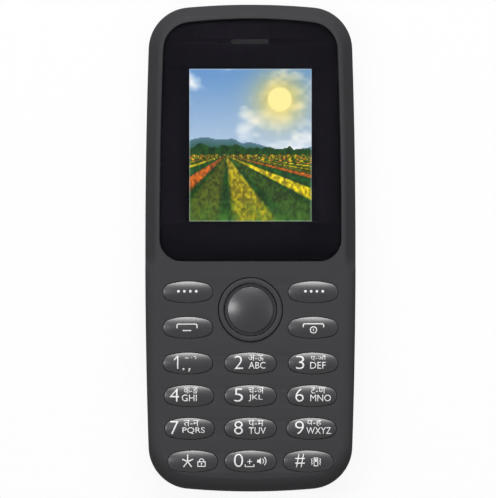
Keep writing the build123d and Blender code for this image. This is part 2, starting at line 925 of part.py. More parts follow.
def speaker_mesh():
    """Dust mesh in its recess on the back of the frame."""
    top = speaker_mesh_top()
    low = top - speaker_mesh_thickness
    return block(speaker_x, speaker_y, speaker_mesh_length, speaker_mesh_width, low, top)


def motor_axis():
    """Height of the vibration motor's shaft, and the two ends of its can."""
    z = board_z - motor_radius - motor_board_gap
    back = end_y - motor_to_end
    return z, back - motor_length, back


def vibration_motor():
    """Motor can with a foot on the board and a bearing for its shaft."""
    z, front, back = motor_axis()
    can = rod(motor_x, z, motor_radius, front, back)
    can += block(motor_x, (front + back) / 2, motor_foot_width, motor_length, z, board_z)
    return can - rod(motor_x, z, motor_bearing_radius, front - overrun, front + motor_bearing_depth)


def vibration_weight():
    """Shaft with an off-centre weight, its heavy side down."""
    z, front, back = motor_axis()
    far = front - weight_gap - weight_length
    weight = rod(motor_x, z, weight_radius, far, front - weight_gap)
    weight &= block(motor_x, (far + front) / 2, body_width, weight_length + weight_gap, skin_z, z)
    weight += rod(motor_x, z, weight_hub_radius, far, front - weight_gap)
    return weight + rod(motor_x, z, motor_shaft_radius, far, front + motor_bearing_depth - motor_board_gap)


def antenna_y():
    """Middle of the antenna's carrier, below the battery bay."""
    return bay_bottom_y - bay_wall - antenna_to_bay


def antenna_carrier():
    """Plastic block that holds the antenna away from the board."""
    return block(0, antenna_y(), antenna_length, antenna_width, skin_z, skin_z + antenna_height)


def antenna_strip():
    """Bent metal strip on the carrier, with a tab up to the board."""
    y = antenna_y()
    low = skin_z + antenna_height
    length = antenna_length - 2 * antenna_strip_inset
    width = antenna_width - 2 * antenna_strip_inset
    strip = block(0, y, length, width, low, low + antenna_strip_thickness)
    slot = length - antenna_tab_width
    strip -= block(antenna_tab_width, y, slot, antenna_slot_width, low - overrun, low + overrun)
    x = (antenna_strip_thickness - length) / 2
    return strip + block(x, y, antenna_strip_thickness, antenna_tab_width, low, board_z)


def battery_cover():
    """Removable back shell with port notches, camera hole, sound slots and a prying slot."""
    cover = body_blank() & between(0, cover_top_z)
    cover -= tub(cover_wall, cover_wall, cover_top_z + overrun)
    cover -= island(top_island_width, top_island_drop, 1, island_gap)
    cover -= island(bottom_island_width, bottom_island_drop, -1, island_gap)
    cover -= pin(camera_x, camera_y, camera_window_radius + camera_window_gap, -overrun, cover_wall + overrun)
    for i in range(grille_slots):
        y = speaker_y + (i - (grille_slots - 1) / 2) * grille_pitch
        cover -= block(speaker_x, y, grille_slot_length, grille_slot_width, -overrun, cover_wall + overrun)
    y = pry_to_end - end_y
    pry = 2 * (side_bulge + pry_depth)
    low = cover_top_z - pry_height
    cover -= block(-body_width / 2, y, pry, pry_length, low, cover_top_z + overrun)
    return cover


def housing_screws():
    """Screws, from the back of the frame into the front housing's bosses."""
    found = []
    for x, y in screw_places:
        head = pin(x, y, screw_head_radius, screw_seat_z - screw_head_height, screw_seat_z)
        found.append(head + pin(x, y, screw_shank_radius, screw_seat_z, screw_seat_z + screw_shank_length))
    return Compound(found)


pieces = {
    "front_housing": front_housing(),
    "display_lens": display_lens(),
    "lens_adhesive": lens_adhesive(),
    "earpiece_mesh": earpiece_mesh(),
    "earpiece_receiver": earpiece_receiver(),
    "display_gasket": display_gasket(),
    "lcd_panel": lcd_panel(),
    "lcd_tray": lcd_tray(),
    "lcd_flex": lcd_flex(),
    "nav_ring": nav_ring(),
    "nav_carrier": nav_carrier(),
    "ok_key": ok_key(),
    "keypad_mat": keypad_mat(),
    "dome_sheet": dome_sheet(),
    "metal_domes": metal_domes(),
    "keypad_leds": keypad_leds(),
    "main_board": main_board(),
    "sim_socket_left": socket(*sim_places()[0], sim_width, sim_length, sim_height),
    "sim_socket_right": socket(*sim_places()[1], sim_width, sim_length, sim_height),
    "memory_card_socket": socket(0, card_y, card_width, card_length, sim_height),
    "shield_can": shield_can(),
    "baseband_chip": baseband_chip(),
    "contact_block": contact_block(),
    "battery_contacts": battery_contacts(),
    "battery": battery(),
    "rear_frame": rear_frame(),
    "battery_cover": battery_cover(),
    "housing_screws": housing_screws(),
    "headphone_jack": headphone_jack(),
    "charge_port": charge_port(),
    "microphone": microphone(),
    "torch_lens": torch_lens(),
    "torch_led": torch_led(),
    "camera_module": camera_module(),
    "camera_window": camera_window(),
    "loudspeaker": loudspeaker(),
    "speaker_mesh": speaker_mesh(),
    "vibration_motor": vibration_motor(),
    "vibration_weight": vibration_weight(),
    "antenna_carrier": antenna_carrier(),
    "antenna_strip": antenna_strip(),
}
for name, x, y, length in key_places():
    pieces[name] = key_cap(length, x, y)

os.makedirs("parts", exist_ok=True)
for name, shape in pieces.items():
    export_step(shape, f"parts/{name}.step")
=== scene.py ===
"""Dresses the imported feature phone: its moulded surfaces, key legends, screen picture, finishes, light and camera."""

import math

import bmesh
import bpy
import numpy as np
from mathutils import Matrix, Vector
from mathutils.geometry import tessellate_polygon


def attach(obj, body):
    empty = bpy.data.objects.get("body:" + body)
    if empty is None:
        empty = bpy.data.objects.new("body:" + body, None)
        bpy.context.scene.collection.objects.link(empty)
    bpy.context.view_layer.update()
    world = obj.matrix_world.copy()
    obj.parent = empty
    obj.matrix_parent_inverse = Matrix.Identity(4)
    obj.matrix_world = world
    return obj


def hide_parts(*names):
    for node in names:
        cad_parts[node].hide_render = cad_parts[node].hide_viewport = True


MM = 0.001

# Lengths below are in millimetres, in the phone's own frame: X across, Y towards the earpiece, Z out of the screen.
BODY_HALF_WIDTH = 24.18
BODY_HALF_LENGTH = 55.985
SIDE_BULGE = 1.07
END_BULGE = 1.65
CORNER_RADIUS = 9.8
FACE_Z = 13.65
DECK_UNDERSIDE_Z = 12.35
SHELL_BOTTOM_Z = 8.3
LENS_MARGIN = 3.4
LENS_GAP = 0.1
RIM_WIDTH = 3.2
CREASE_Y = -3.2
CHIN_Y = -44.0
LENS_BOTTOM_Y = -2.955
LENS_CORNER = 5.05
LENS_BACK_Z = 12.75
LENS_SEAT_Z = 12.6
SCREEN_Y = 23.665
SCREEN_WIDTH = 28.03
SCREEN_LENGTH = 35.04
PANEL_Z = 11.3
SLOT_Y = 47.385
SLOT_LENGTH = 8.5
SLOT_WIDTH = 1.05
KEY_HALF_WIDTH = 2.46
KEY_END_RADIUS = 1.9
KEY_TOP_Z = 14.35
KEY_GAP = 0.1
LEGEND_SHIFT = 0.08
MAT_Z = 11.65
NAV_Y = -14.145
NAV_HOLE = 7.45
RIM_ROUND = 0.08
RING_INSIDE = 6.15
RING_OUTSIDE = 7.25
RING_FOOT_Z = 12.45
OK_RADIUS = 5.95
KEY_SKIRT_Z = 12.6
INK = 0.02
CAMERA_PLACE = (10.0, 36.085)

KEY_PLACES = {
    "softkey_left": (-14.36, -10.065, 11.3),
    "softkey_right": (14.36, -10.065, 11.3),
    "call_key": (-14.36, -18.225, 11.3),
    "end_key": (14.36, -18.225, 11.3),
    "key_1": (-14.36, -26.405, 11.3),
    "key_2": (0.0, -26.405, 11.8),
    "key_3": (14.36, -26.405, 11.3),
    "key_4": (-14.1, -33.895, 11.3),
    "key_5": (0.0, -33.895, 11.8),
    "key_6": (14.1, -33.895, 11.3),
    "key_7": (-13.97, -41.385, 11.3),
    "key_8": (0.0, -41.385, 11.8),
    "key_9": (13.97, -41.385, 11.3),
    "key_star": (-13.23, -48.875, 11.3),
    "key_0": (0.0, -48.875, 11.8),
    "key_hash": (13.23, -48.875, 11.3),
}

# In metres. The table lies a little below the phone, so that the two don't share a plane. The camera's lens frames the
# view's height at the view's distance, which ends near the phone's face.
FLOOR_Z = -0.0002
FLOOR_REACH = 3.0
VIEW_HEIGHT = 0.11442
VIEW_DISTANCE = 1.5
CAMERA_AT = (-0.00056, -0.000207, 1.5114)

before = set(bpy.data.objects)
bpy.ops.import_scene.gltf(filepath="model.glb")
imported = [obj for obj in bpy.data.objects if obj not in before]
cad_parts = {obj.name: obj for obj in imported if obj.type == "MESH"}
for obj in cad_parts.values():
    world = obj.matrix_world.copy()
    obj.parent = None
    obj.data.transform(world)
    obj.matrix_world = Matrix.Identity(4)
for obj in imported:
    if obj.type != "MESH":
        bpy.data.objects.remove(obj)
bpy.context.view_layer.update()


# Plans: closed lines seen from above, as arrays of points


def arc_line(arcs):
    """Points along arcs in a row: centre + radius * (cos angle, sin angle). An arc is given as (centre x, centre y,
    radius, from, to, steps)."""
    rows = []
    for x, y, radius, start, stop, steps in arcs:
        angle = np.linspace(start, stop, steps, endpoint=False)
        rows.append(np.column_stack([x + radius * np.cos(angle), y + radius * np.sin(angle)]))
    x, y, radius, _, stop, _ = arcs[-1]
    rows.append(np.array([[x + radius * math.cos(stop), y + radius * math.sin(stop)]]))
    return np.vstack(rows)


def mirrored_half(right):
    """A closed plan from its right half, bottom to top: the same points with x negated come back down."""
    return np.vstack([right, right[::-1][1:-1] * (-1, 1)])


def mirrored_quarter(first):
    """A closed plan from its first quarter, from +X to +Y, mirrored in both axes. It starts at the bottom."""
    return mirrored_half(np.vstack([first[::-1] * (1, -1), first[1:]]))


def body_arcs(inset):
    """The body's flat side arc, round corner and flat end arc in its first quarter, set in by inset.
    A flat arc's radius is (half chord squared + bulge squared) / twice the bulge; the corner's centre is the point
    whose distance to either arc's centre is that arc's radius less the corner's."""
    half_width = BODY_HALF_WIDTH - inset
    half_length = BODY_HALF_LENGTH - inset
    corner = CORNER_RADIUS - inset
    side = ((half_length - END_BULGE) ** 2 + SIDE_BULGE**2) / (2 * SIDE_BULGE)
    end = ((half_width - SIDE_BULGE) ** 2 + END_BULGE**2) / (2 * END_BULGE)
    side_x = half_width - side
    end_y = half_length - end
    apart = math.hypot(side_x, end_y)
    along = ((side - corner) ** 2 - (end - corner) ** 2 + apart**2) / (2 * apart)
    aside = math.sqrt((side - corner) ** 2 - along**2)
    corner_x = side_x + (along * -side_x - aside * end_y) / apart
    corner_y = (along * end_y - aside * side_x) / apart
    first = math.atan2(corner_y, corner_x - side_x)
    second = math.atan2(corner_y - end_y, corner_x)
    return [
        (side_x, 0.0, side, 0.0, first, 130),
        (corner_x, corner_y, corner, first, second, 32),
        (0.0, end_y, end, second, math.pi / 2, 30),
    ]


def body_plan(inset=0.0):
    """The body's plan set in by inset, always with the same number of points."""
    return mirrored_quarter(arc_line(body_arcs(inset)))


def lens_half(grow=0.0):
    """Right half of the lens's plan, bottom to top, and how many of its points lie below the straight of the side:
    the body's plan set in by the margin, cut straight across, with a round corner between cut and side."""
    side, corner, end = body_arcs(LENS_MARGIN - grow)
    side_x, _, radius, _, stop, _ = side
    turn = LENS_CORNER + grow
    turn_y = LENS_BOTTOM_Y - grow + turn
    turn_x = side_x + math.sqrt((radius - turn) ** 2 - turn_y**2)
    meet = math.atan2(turn_y, turn_x - side_x)
    across = np.linspace(0.0, turn_x, 30, endpoint=False)
    cut = np.column_stack([across, np.full(30, LENS_BOTTOM_Y - grow)])
    bend = arc_line([(turn_x, turn_y, turn, -math.pi / 2, meet, 26)])
    rest = arc_line([(side_x, 0.0, radius, meet, stop, 110), corner, end])
    return np.vstack([cut, bend, rest[1:]]), 30 + 27


def lens_plan(grow=0.0):
    """The lens's plan, grown all round."""
    return mirrored_half(lens_half(grow)[0])


def key_plan(length, grow=0.0):
    """A key's oval: two flat arcs and two tight end arcs that meet without a corner."""
    half_width = KEY_HALF_WIDTH + grow
    end = KEY_END_RADIUS + grow
    centre = length / 2 - KEY_END_RADIUS
    flat = (centre**2 + half_width**2 - end**2) / (2 * (half_width - end))
    meet = math.atan2(flat - half_width, centre)
    arcs = [(centre, 0.0, end, 0.0, meet, 12), (0.0, half_width - flat, flat, meet, math.pi / 2, 18)]
    return mirrored_quarter(arc_line(arcs))


def ring_plan(radius, steps=144):
    """A circle."""
    angle = np.linspace(-math.pi / 2, 1.5 * math.pi, steps, endpoint=False)
    return radius * np.column_stack([np.cos(angle), np.sin(angle)])


def slot_plan(length, width, grow=0.0):
    """A slot with half-round ends."""
    radius = width / 2 + grow
    return mirrored_quarter(arc_line([((length - width) / 2, 0.0, radius, 0.0, math.pi / 2, 14)]))


def box_plan(width, length, corner):
    """A rectangle with rounded corners."""
    return mirrored_quarter(arc_line([(width / 2 - corner, length / 2 - corner, corner, 0.0, math.pi / 2, 6)]))


# Surfaces: (points, faces) pairs, and the pieces made from them


def eased(share):
    """A share from 0 to 1 that starts and ends softly: 3 s^2 - 2 s^3."""
    return share * share * (3.0 - 2.0 * share)


def at_height(plan, z, place=(0.0, 0.0)):
    """A plan moved to its place and lifted to z, which is one height or one for each point."""
    return np.column_stack([plan + np.array(place), np.broadcast_to(z, len(plan))])


def grid_faces(shape):
    """Four-sided faces over a grid of points, row by row."""
    index = np.arange(shape[0] * shape[1]).reshape(shape)
    return np.stack([index[:-1, :-1], index[:-1, 1:], index[1:, 1:], index[1:, :-1]], axis=-1).reshape(-1, 4).tolist()


def skin(rows):
    """Four-sided faces between closed lines with equal numbers of points. Lines run from inside a hole outwards over
    the face and down the outer wall, which turns every face outwards."""
    grid = np.array(rows)
    rank, count = grid.shape[:2]
    index = np.arange(rank * count).reshape(rank, count)
    ahead = np.roll(index, -1, axis=1)
    faces = np.stack([index[:-1], index[1:], ahead[1:], ahead[:-1]], axis=-1).reshape(-1, 4)
    return grid.reshape(-1, 3), faces.tolist()


def disc(line, up=True):
    """One flat face inside a closed line."""
    order = list(range(len(line)))
    return np.array(line), [order if up else order[::-1]]


def plate(lines, up=True):
    """Flat triangles inside the first closed line and outside the others."""
    points = np.vstack(lines)
    triangles = np.array(tessellate_polygon([[Vector(p) for p in line] for line in lines]))
    a, b, c = (points[triangles[:, i]] for i in range(3))
    facing = (b - a)[:, 0] * (c - a)[:, 1] - (b - a)[:, 1] * (c - a)[:, 0]
    turned = (facing > 0) != up
    triangles[turned] = triangles[turned][:, ::-1]
    return points, triangles[np.abs(facing) > 1e-9].tolist()


def gathered(parts):
    """Several surfaces as one, with their points numbered on."""
    points = np.vstack([p for p, _ in parts])
    starts = np.cumsum([0] + [len(p) for p, _ in parts])
    faces = [[corner + start for corner in face] for start, (_, f) in zip(starts, parts) for face in f]
    return points, faces


def make_mesh(name, points, faces, sharp=35.0):
    """A mesh in metres from millimetre points, its seams closed, smooth but for edges sharper than the angle."""
    mesh = bpy.data.meshes.new(name)
    mesh.from_pydata((np.asarray(points) * MM).tolist(), [], faces)
    work = bmesh.new()
    work.from_mesh(mesh)
    bmesh.ops.remove_doubles(work, verts=work.verts, dist=2e-7)
    work.to_mesh(mesh)
    work.free()
    mesh.shade_smooth()
    mesh.set_sharp_from_angle(angle=math.radians(sharp))
    return mesh


def in_scene(name, data):
    """A new object in the scene."""
    holder = bpy.data.objects.new(name, data)
    bpy.context.scene.collection.objects.link(holder)
    return holder


def place(name, mesh, material, body, slot, stands_for=()):
    """A finished piece on its body, in its finish, in place of its solids."""
    piece = in_scene(name, mesh)
    mesh.materials.clear()
    mesh.materials.append(material)
    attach(piece, body)
    if stands_for:
        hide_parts(*stands_for)
    return piece


def make_piece(name, parts, material, body, slot, stands_for=(), sharp=35.0):
    """A piece straight from its surfaces."""
    return place(name, make_mesh(name, *gathered(parts), sharp), material, body, slot, stands_for)


def thicken(piece, name, thickness):
    """Gives a sheet its thickness, below its face."""
    sheet = piece.modifiers.new(name, "SOLIDIFY")
    sheet.thickness = thickness * MM
    sheet.offset = -1.0


# Finishes


def add(tree, kind, settings=None, values=None, links=None):
    """A node with its settings, socket values and incoming links."""
    node = tree.nodes.new(kind)
    for key, value in (settings or {}).items():
        setattr(node, key, value)
    for key, value in (values or {}).items():
        node.inputs[key].default_value = value
    for key, socket in (links or {}).items():
        tree.links.new(socket, node.inputs[key])
    return node


def maths(tree, operation, first, second):
    """A Math node whose two inputs are each a socket or a number."""
    node = tree.nodes.new("ShaderNodeMath")
    node.operation = operation
    for socket, value in zip(node.inputs, (first, second)):
        if isinstance(value, (int, float)):
            socket.default_value = value
        else:
            tree.links.new(value, socket)
    return node.outputs[0]


def ranged(tree, socket, start, stop, low=0.0, high=1.0):
    """A value carried from start..stop to low..high, and held at the ends."""
    values = {"From Min": start, "From Max": stop, "To Min": low, "To Max": high}
    return add(tree, "ShaderNodeMapRange", values=values, links={"Value": socket}).outputs["Result"]


def mixed(tree, share, first, second):
    """Two shaders' outputs mixed by share."""
    return add(tree, "ShaderNodeMixShader", links={"Fac": share, 1: first, 2: second}).outputs[0]


def new_material(name):
    """A material, its node tree and its shader."""
    material = bpy.data.materials.new(name)
    material.use_nodes = True
    return material, material.node_tree, material.node_tree.nodes["Principled BSDF"]


def noise(tree, scale, detail, roughness=0.5):
    """A noise over Object coordinates. Scale is a number or a socket, in waves a metre."""
    where = add(tree, "ShaderNodeTexCoord")
    settled = {"Detail": detail, "Roughness": roughness}
    made = add(tree, "ShaderNodeTexNoise", values=settled, links={"Vector": where.outputs["Object"]})
    if isinstance(scale, (int, float)):
        made.inputs["Scale"].default_value = scale
    else:
        tree.links.new(scale, made.inputs["Scale"])
    return made.outputs["Fac"]


def build_surface_group():
    """Grain, patchy colour, rubbed edges and handling marks that every finish shares."""
    group = bpy.data.node_groups.new("lived_in_surface", "ShaderNodeTree")
    for name, kind, value in (
        ("Colour", "NodeSocketColor", (0.5, 0.5, 0.5, 1.0)),
        ("Worn Colour", "NodeSocketColor", (0.6, 0.6, 0.6, 1.0)),
        ("Roughness", "NodeSocketFloat", 0.5),
        ("Patchiness", "NodeSocketFloat", 0.1),
        ("Wear", "NodeSocketFloat", 0.3),
        ("Grain Scale", "NodeSocketFloat", 5000.0),
    ):
        group.interface.new_socket(name, in_out="INPUT", socket_type=kind).default_value = value
    for name, kind in (("Colour", "Color"), ("Roughness", "Float"), ("Height", "Float")):
        group.interface.new_socket(name, in_out="OUTPUT", socket_type="NodeSocket" + kind)
    given = group.nodes.new("NodeGroupInput").outputs
    result = group.nodes.new("NodeGroupOutput").inputs
    patches = noise(group, 140.0, 4.0, 0.6)
    marks = noise(group, 900.0, 6.0, 0.7)
    grain = noise(group, given["Grain Scale"], 2.0)
    shade = maths(group, "MULTIPLY", maths(group, "SUBTRACT", patches, 0.5), given["Patchiness"])
    fine = maths(group, "MULTIPLY", given["Patchiness"], 0.8)
    speck = maths(group, "MULTIPLY", maths(group, "SUBTRACT", grain, 0.5), fine)
    factor = maths(group, "ADD", maths(group, "ADD", shade, speck), 1.0)
    tinted = add(group, "ShaderNodeVectorMath", {"operation": "SCALE"}, links={0: given["Colour"], "Scale": factor})
    geometry = add(group, "ShaderNodeNewGeometry")
    edge = ranged(group, geometry.outputs["Pointiness"], 0.52, 0.62)
    broken = ranged(group, marks, 0.35, 0.65)
    rubbed = maths(group, "MULTIPLY", maths(group, "MULTIPLY", edge, broken), given["Wear"])
    colour = add(group, "ShaderNodeMix", {"data_type": "RGBA"}, links={"Factor": rubbed})
    group.links.new(tinted.outputs["Vector"], colour.inputs["A"])
    group.links.new(given["Worn Colour"], colour.inputs["B"])
    colour_out = next(s for s in colour.outputs if s.type == "RGBA")
    group.links.new(colour_out, result["Colour"])
    handled = maths(group, "MULTIPLY", maths(group, "SUBTRACT", marks, 0.5), 0.22)
    uneven = maths(group, "ADD", maths(group, "MULTIPLY", maths(group, "SUBTRACT", patches, 0.5), 0.12), handled)
    group.links.new(maths(group, "ADD", uneven, given["Roughness"]), result["Roughness"])
    group.links.new(grain, result["Height"])
    return group


surface_group = build_surface_group()


def finish(name, colour, roughness, grain=5000.0, depth=0.004, patchy=0.12, wear=0.25, worn=None, constants=None):
    """A finish for one kind of piece. Depth is the grain's height in millimetres, and constants are the shader's own
    values."""
    material, tree, shader = new_material(name)
    worn = worn or tuple(min(1.0, 1.7 * c + 0.02) for c in colour)
    life = add(
        tree,
        "ShaderNodeGroup",
        {"node_tree": surface_group},
        {
            "Colour": (*colour, 1.0),
            "Worn Colour": (*worn, 1.0),
            "Roughness": roughness,
            "Patchiness": patchy,
            "Wear": wear,
            "Grain Scale": grain,
        },
    )
    raised = {"Strength": 0.6, "Distance": depth * MM}
    bump = add(tree, "ShaderNodeBump", values=raised, links={"Height": life.outputs["Height"]})
    tree.links.new(life.outputs["Colour"], shader.inputs["Base Color"])
    tree.links.new(life.outputs["Roughness"], shader.inputs["Roughness"])
    tree.links.new(bump.outputs["Normal"], shader.inputs["Normal"])
    for key, value in (constants or {}).items():
        shader.inputs[key].default_value = value
    return material


def screen_finish():
    """The lit screen: its picture glows, under a dark, slightly rough glass face."""
    material, tree, shader = new_material("lit_screen")
    shader.inputs["Base Color"].default_value = (0.01, 0.01, 0.012, 1.0)
    shader.inputs["Emission Strength"].default_value = 1.0
    picture = add(tree, "ShaderNodeVertexColor", {"layer_name": "picture"})
    tree.links.new(picture.outputs["Color"], shader.inputs["Emission Color"])
    haze = ranged(tree, noise(tree, 600.0, 3.0), 0.0, 1.0, 0.32, 0.42)
    tree.links.new(haze, shader.inputs["Roughness"])
    return material


def clear_finish(name, tint, ior=1.2):
    """Clear moulded plastic with faint wipe marks. A low index gives the weak reflection of a coated pane."""
    material, tree, shader = new_material(name)
    shader.inputs["Base Color"].default_value = (*tint, 1.0)
    shader.inputs["IOR"].default_value = ior
    shader.inputs["Transmission Weight"].default_value = 1.0
    wiped = ranged(tree, noise(tree, 260.0, 5.0, 0.7), 0.4, 0.8, 0.0, 0.05)
    tree.links.new(wiped, shader.inputs["Roughness"])
    return material


STEEL = {"Metallic": 1.0}
SOFT_SHINE = {"Specular IOR Level": 0.02}
LACQUER = {"Specular IOR Level": 0.3, "Coat Weight": 1.0, "Coat IOR": 1.95}

housing_finish = finish("housing_plastic", (0.055, 0.055, 0.058), 0.56, grain=7000.0, depth=0.006, constants=SOFT_SHINE)
frame_finish = finish("frame_plastic", (0.03, 0.03, 0.031), 0.6, grain=6000.0, depth=0.008)
key_finish = finish(
    "key_plastic",
    (0.031, 0.031, 0.033),
    0.5,
    grain=9000.0,
    depth=0.002,
    wear=0.12,
    constants={**LACQUER, "Coat Roughness": 0.34},
)
ring_finish = finish(
    "nav_ring_plastic",
    (0.052, 0.052, 0.055),
    0.5,
    grain=8000.0,
    depth=0.003,
    wear=0.1,
    constants={"Specular IOR Level": 0.25},
)
dome_finish = finish(
    "ok_key_plastic",
    (0.033, 0.033, 0.035),
    0.5,
    grain=9000.0,
    depth=0.001,
    wear=0.1,
    constants={**LACQUER, "Coat Roughness": 0.28},
)
legend_finish = finish("legend_ink", (0.92, 0.92, 0.92), 0.45, grain=12000.0, depth=0.001, patchy=0.06, wear=0.0)
print_finish = finish(
    "lens_black_print",
    (0.0165, 0.0155, 0.02),
    0.6,
    grain=9000.0,
    depth=0.001,
    patchy=0.2,
    wear=0.0,
    constants={"Specular IOR Level": 0.0},
)
mesh_finish = finish("earpiece_mesh_cloth", (0.011, 0.011, 0.012), 0.6, grain=9000.0, depth=0.004, wear=0.3)
barrel_finish = finish("camera_barrel_satin", (0.05, 0.05, 0.052), 0.38, grain=9000.0, depth=0.002)
eye_finish = finish("coated_lens_glass", (0.008, 0.004, 0.02), 0.06, patchy=0.0, wear=0.0, constants={"IOR": 1.8})
pane_finish = clear_finish("lens_plastic", (1.0, 1.0, 1.0))
glow_finish = screen_finish()


# Front shell: bezel, sloped rim, key deck and outer wall in one moulding


def bezel_drop(depth_in):
    """How far the rim beside the lens lies below the face at a distance in from the edge: a strip that leans out a
    little, a steeper slope beyond it, and a quarter round into the wall."""
    strip = 0.1 * (RIM_WIDTH - depth_in)
    ease = 0.2
    slope = 1.45 * ease * np.logaddexp(0.0, (2.3 - depth_in) / ease)
    edge = np.clip((0.4 - depth_in) / 0.4, 0.0, 1.0)
    return strip + slope + 0.3 * (1.0 - np.sqrt(1.0 - edge**2))


def deck_drop(depth_in):
    """The same beside the keys: a quarter ellipse, flat towards the deck and upright at the wall."""
    reach, depth = 3.0, 2.4
    edge = np.clip((reach - depth_in) / reach, 0.0, 1.0)
    return depth * (1.0 - np.sqrt(1.0 - edge**2))


def rim_line(depth_in):
    """One line of the rim at a distance in from the edge. Its height turns from the deck's form to the bezel's
    across a soft crease, lower towards the outer wall, and the chin leans back below the last row of keys."""
    plan = body_plan(depth_in)
    crease = CREASE_Y - 0.9 * (1.0 - depth_in / RIM_WIDTH)
    share = eased(np.clip((plan[:, 1] - crease + 1.7) / 3.4, 0.0, 1.0))
    chin = 0.42 * (RIM_WIDTH - depth_in) * eased(np.clip((CHIN_Y - plan[:, 1]) / 8.0, 0.0, 1.0))
    drop = share * bezel_drop(depth_in) + (1.0 - share) * deck_drop(depth_in) + chin
    return at_height(plan, FACE_Z - drop)


def hole_walls(plan_at, place_at, bottom=DECK_UNDERSIDE_Z):
    """A hole's wall and its small rounded rim: straight up, then a quarter circle outwards."""
    turn = np.linspace(0.0, math.pi / 2, 5)
    rows = [at_height(plan_at(0.0), bottom, place_at)]
    for a in turn:
        plan = plan_at(RIM_ROUND * (1 - math.cos(a)))
        rows.append(at_height(plan, FACE_Z - RIM_ROUND * (1 - math.sin(a)), place_at))
    return skin(rows)


def front_shell():
    """The whole front moulding."""
    turn = np.linspace(0.0, math.pi / 2, 34)
    rim_rows = [rim_line(RIM_WIDTH * (1.0 - math.sin(a))) for a in turn]
    rim_rows[-1] = rim_line(0.0)
    foot = ((0.0, 9.3), (0.0, 8.5), (0.06, 8.36), (0.2, SHELL_BOTTOM_Z), (1.4, SHELL_BOTTOM_Z))
    parts = [skin(rim_rows + [at_height(body_plan(inset), z) for inset, z in foot])]

    plan = body_plan(RIM_WIDTH)
    half, count = lens_half(LENS_MARGIN - RIM_WIDTH)
    corner_y = half[count - 1, 1]
    rising = np.arange(len(plan)) < len(plan) // 2
    lower_right = plan[rising & (plan[:, 1] < corner_y)]
    lower_left = plan[~rising & (plan[:, 1] < corner_y)]
    under_lens = half[:count]
    under_lens = np.vstack([under_lens[::-1], under_lens[1:] * (-1, 1)])
    edge = np.vstack([lower_left, lower_right, under_lens])
    lines = [at_height(edge, FACE_Z), at_height(ring_plan(NAV_HOLE + RIM_ROUND), FACE_Z, (0.0, NAV_Y))]
    for x, y, length in KEY_PLACES.values():
        lines.append(at_height(key_plan(length, KEY_GAP + RIM_ROUND), FACE_Z, (x, y)))
    parts.append(plate(lines))

    for x, y, length in KEY_PLACES.values():
        parts.append(hole_walls(lambda grow, size=length: key_plan(size, KEY_GAP + grow), (x, y)))
    parts.append(hole_walls(lambda grow: ring_plan(NAV_HOLE + grow), (0.0, NAV_Y)))
    parts.append(hole_walls(lambda grow: lens_plan(LENS_GAP + grow), (0.0, 0.0), LENS_SEAT_Z))
    parts.append(skin([at_height(lens_plan(grow), LENS_SEAT_Z) for grow in (-3.0, LENS_GAP)]))
    make_piece("front_shell", parts, housing_finish, "housing", "housing_plastic", ["front_housing"], 30.0)


front_shell()


# Lens: a clear pane with a hole for the earpiece, printed black behind all but the window


def lens_pieces():
    """The pane with its rounded rim and slot, and the black print behind it."""
    turn = np.linspace(0.0, math.pi / 2, 6)
    slot_place = (0.0, SLOT_Y)
    top, back, rim = FACE_Z - 0.03, LENS_BACK_Z + 0.04, 0.08
    steps = ((0.0, back), (0.0, top - 0.04), (0.01, top - 0.01), (0.04, top))
    slot = [at_height(slot_plan(SLOT_LENGTH, SLOT_WIDTH, grow), z, slot_place) for grow, z in steps]
    outside = [at_height(lens_plan(-rim * (1 - math.sin(a))), top - rim * (1 - math.cos(a))) for a in turn]
    outside.append(at_height(lens_plan(), back))
    parts = [skin(slot), skin(outside), plate([outside[0], slot[-1]]), plate([outside[-1], slot[0]], up=False)]
    make_piece("lens_pane", parts, pane_finish, "housing", "lens_plastic", ["display_lens"])

    spare = 0.24
    window = box_plan(SCREEN_WIDTH + spare, SCREEN_LENGTH + spare, 0.1)
    z = LENS_BACK_Z + 0.03
    lines = [at_height(lens_plan(-INK), z), at_height(window, z, (0.0, SCREEN_Y))]
    lines.append(at_height(slot_plan(SLOT_LENGTH, SLOT_WIDTH, INK), z, slot_place))
    black = make_piece("lens_print", [plate(lines)], print_finish, "housing", "lens_plastic")
    thicken(black, "ink", INK)


def woven_mesh():
    """Earpiece cloth: height is the larger of two crossed sets of round threads, each going over and under the
    other."""
    x, y = np.meshgrid(np.linspace(-4.6, 4.6, 185), np.linspace(-0.9, 0.9, 37))
    pitch = 0.2
    weft = 0.03 * np.cos(2 * math.pi * y / pitch) + 0.02 * np.cos(math.pi * x / pitch)
    warp = 0.03 * np.cos(2 * math.pi * x / pitch) - 0.02 * np.cos(math.pi * y / pitch)
    z = 12.74 + np.maximum(weft, warp)
    points = np.column_stack([x.ravel(), y.ravel() + SLOT_Y, z.ravel()])
    parts = [(points, grid_faces(x.shape))]
    cloth = make_piece("earpiece_cloth", parts, mesh_finish, "housing", "sheet_steel", ["earpiece_mesh"], 80.0)
    thicken(cloth, "thread", 0.05)


lens_pieces()
woven_mesh()


# Screen picture: a generic landscape worked out cell by cell

SCREEN_CELLS = (128, 160)
BLOOMS = (
    (0.9, 0.82, 0.08),
    (0.1, 0.38, 0.14),
    (0.84, 0.42, 0.1),
    (0.34, 0.4, 0.08),
    (0.72, 0.66, 0.08),
    (0.22, 0.36, 0.1),
)


def soft_noise(x, y, cells, seed):
    """Random heights on a coarse grid, joined by smooth steps, from 0 to 1."""
    size = 64
    table = np.random.default_rng(seed).random((size, size))
    gx, gy = x * cells, y * cells
    ix, iy = np.floor(gx).astype(int), np.floor(gy).astype(int)
    fx, fy = eased(gx - ix), eased(gy - iy)
    left, right = ix % size, (ix + 1) % size
    low, high = (table[row % size, left] * (1 - fx) + table[row % size, right] * fx for row in (iy, iy + 1))
    return low * (1 - fy) + high * fy


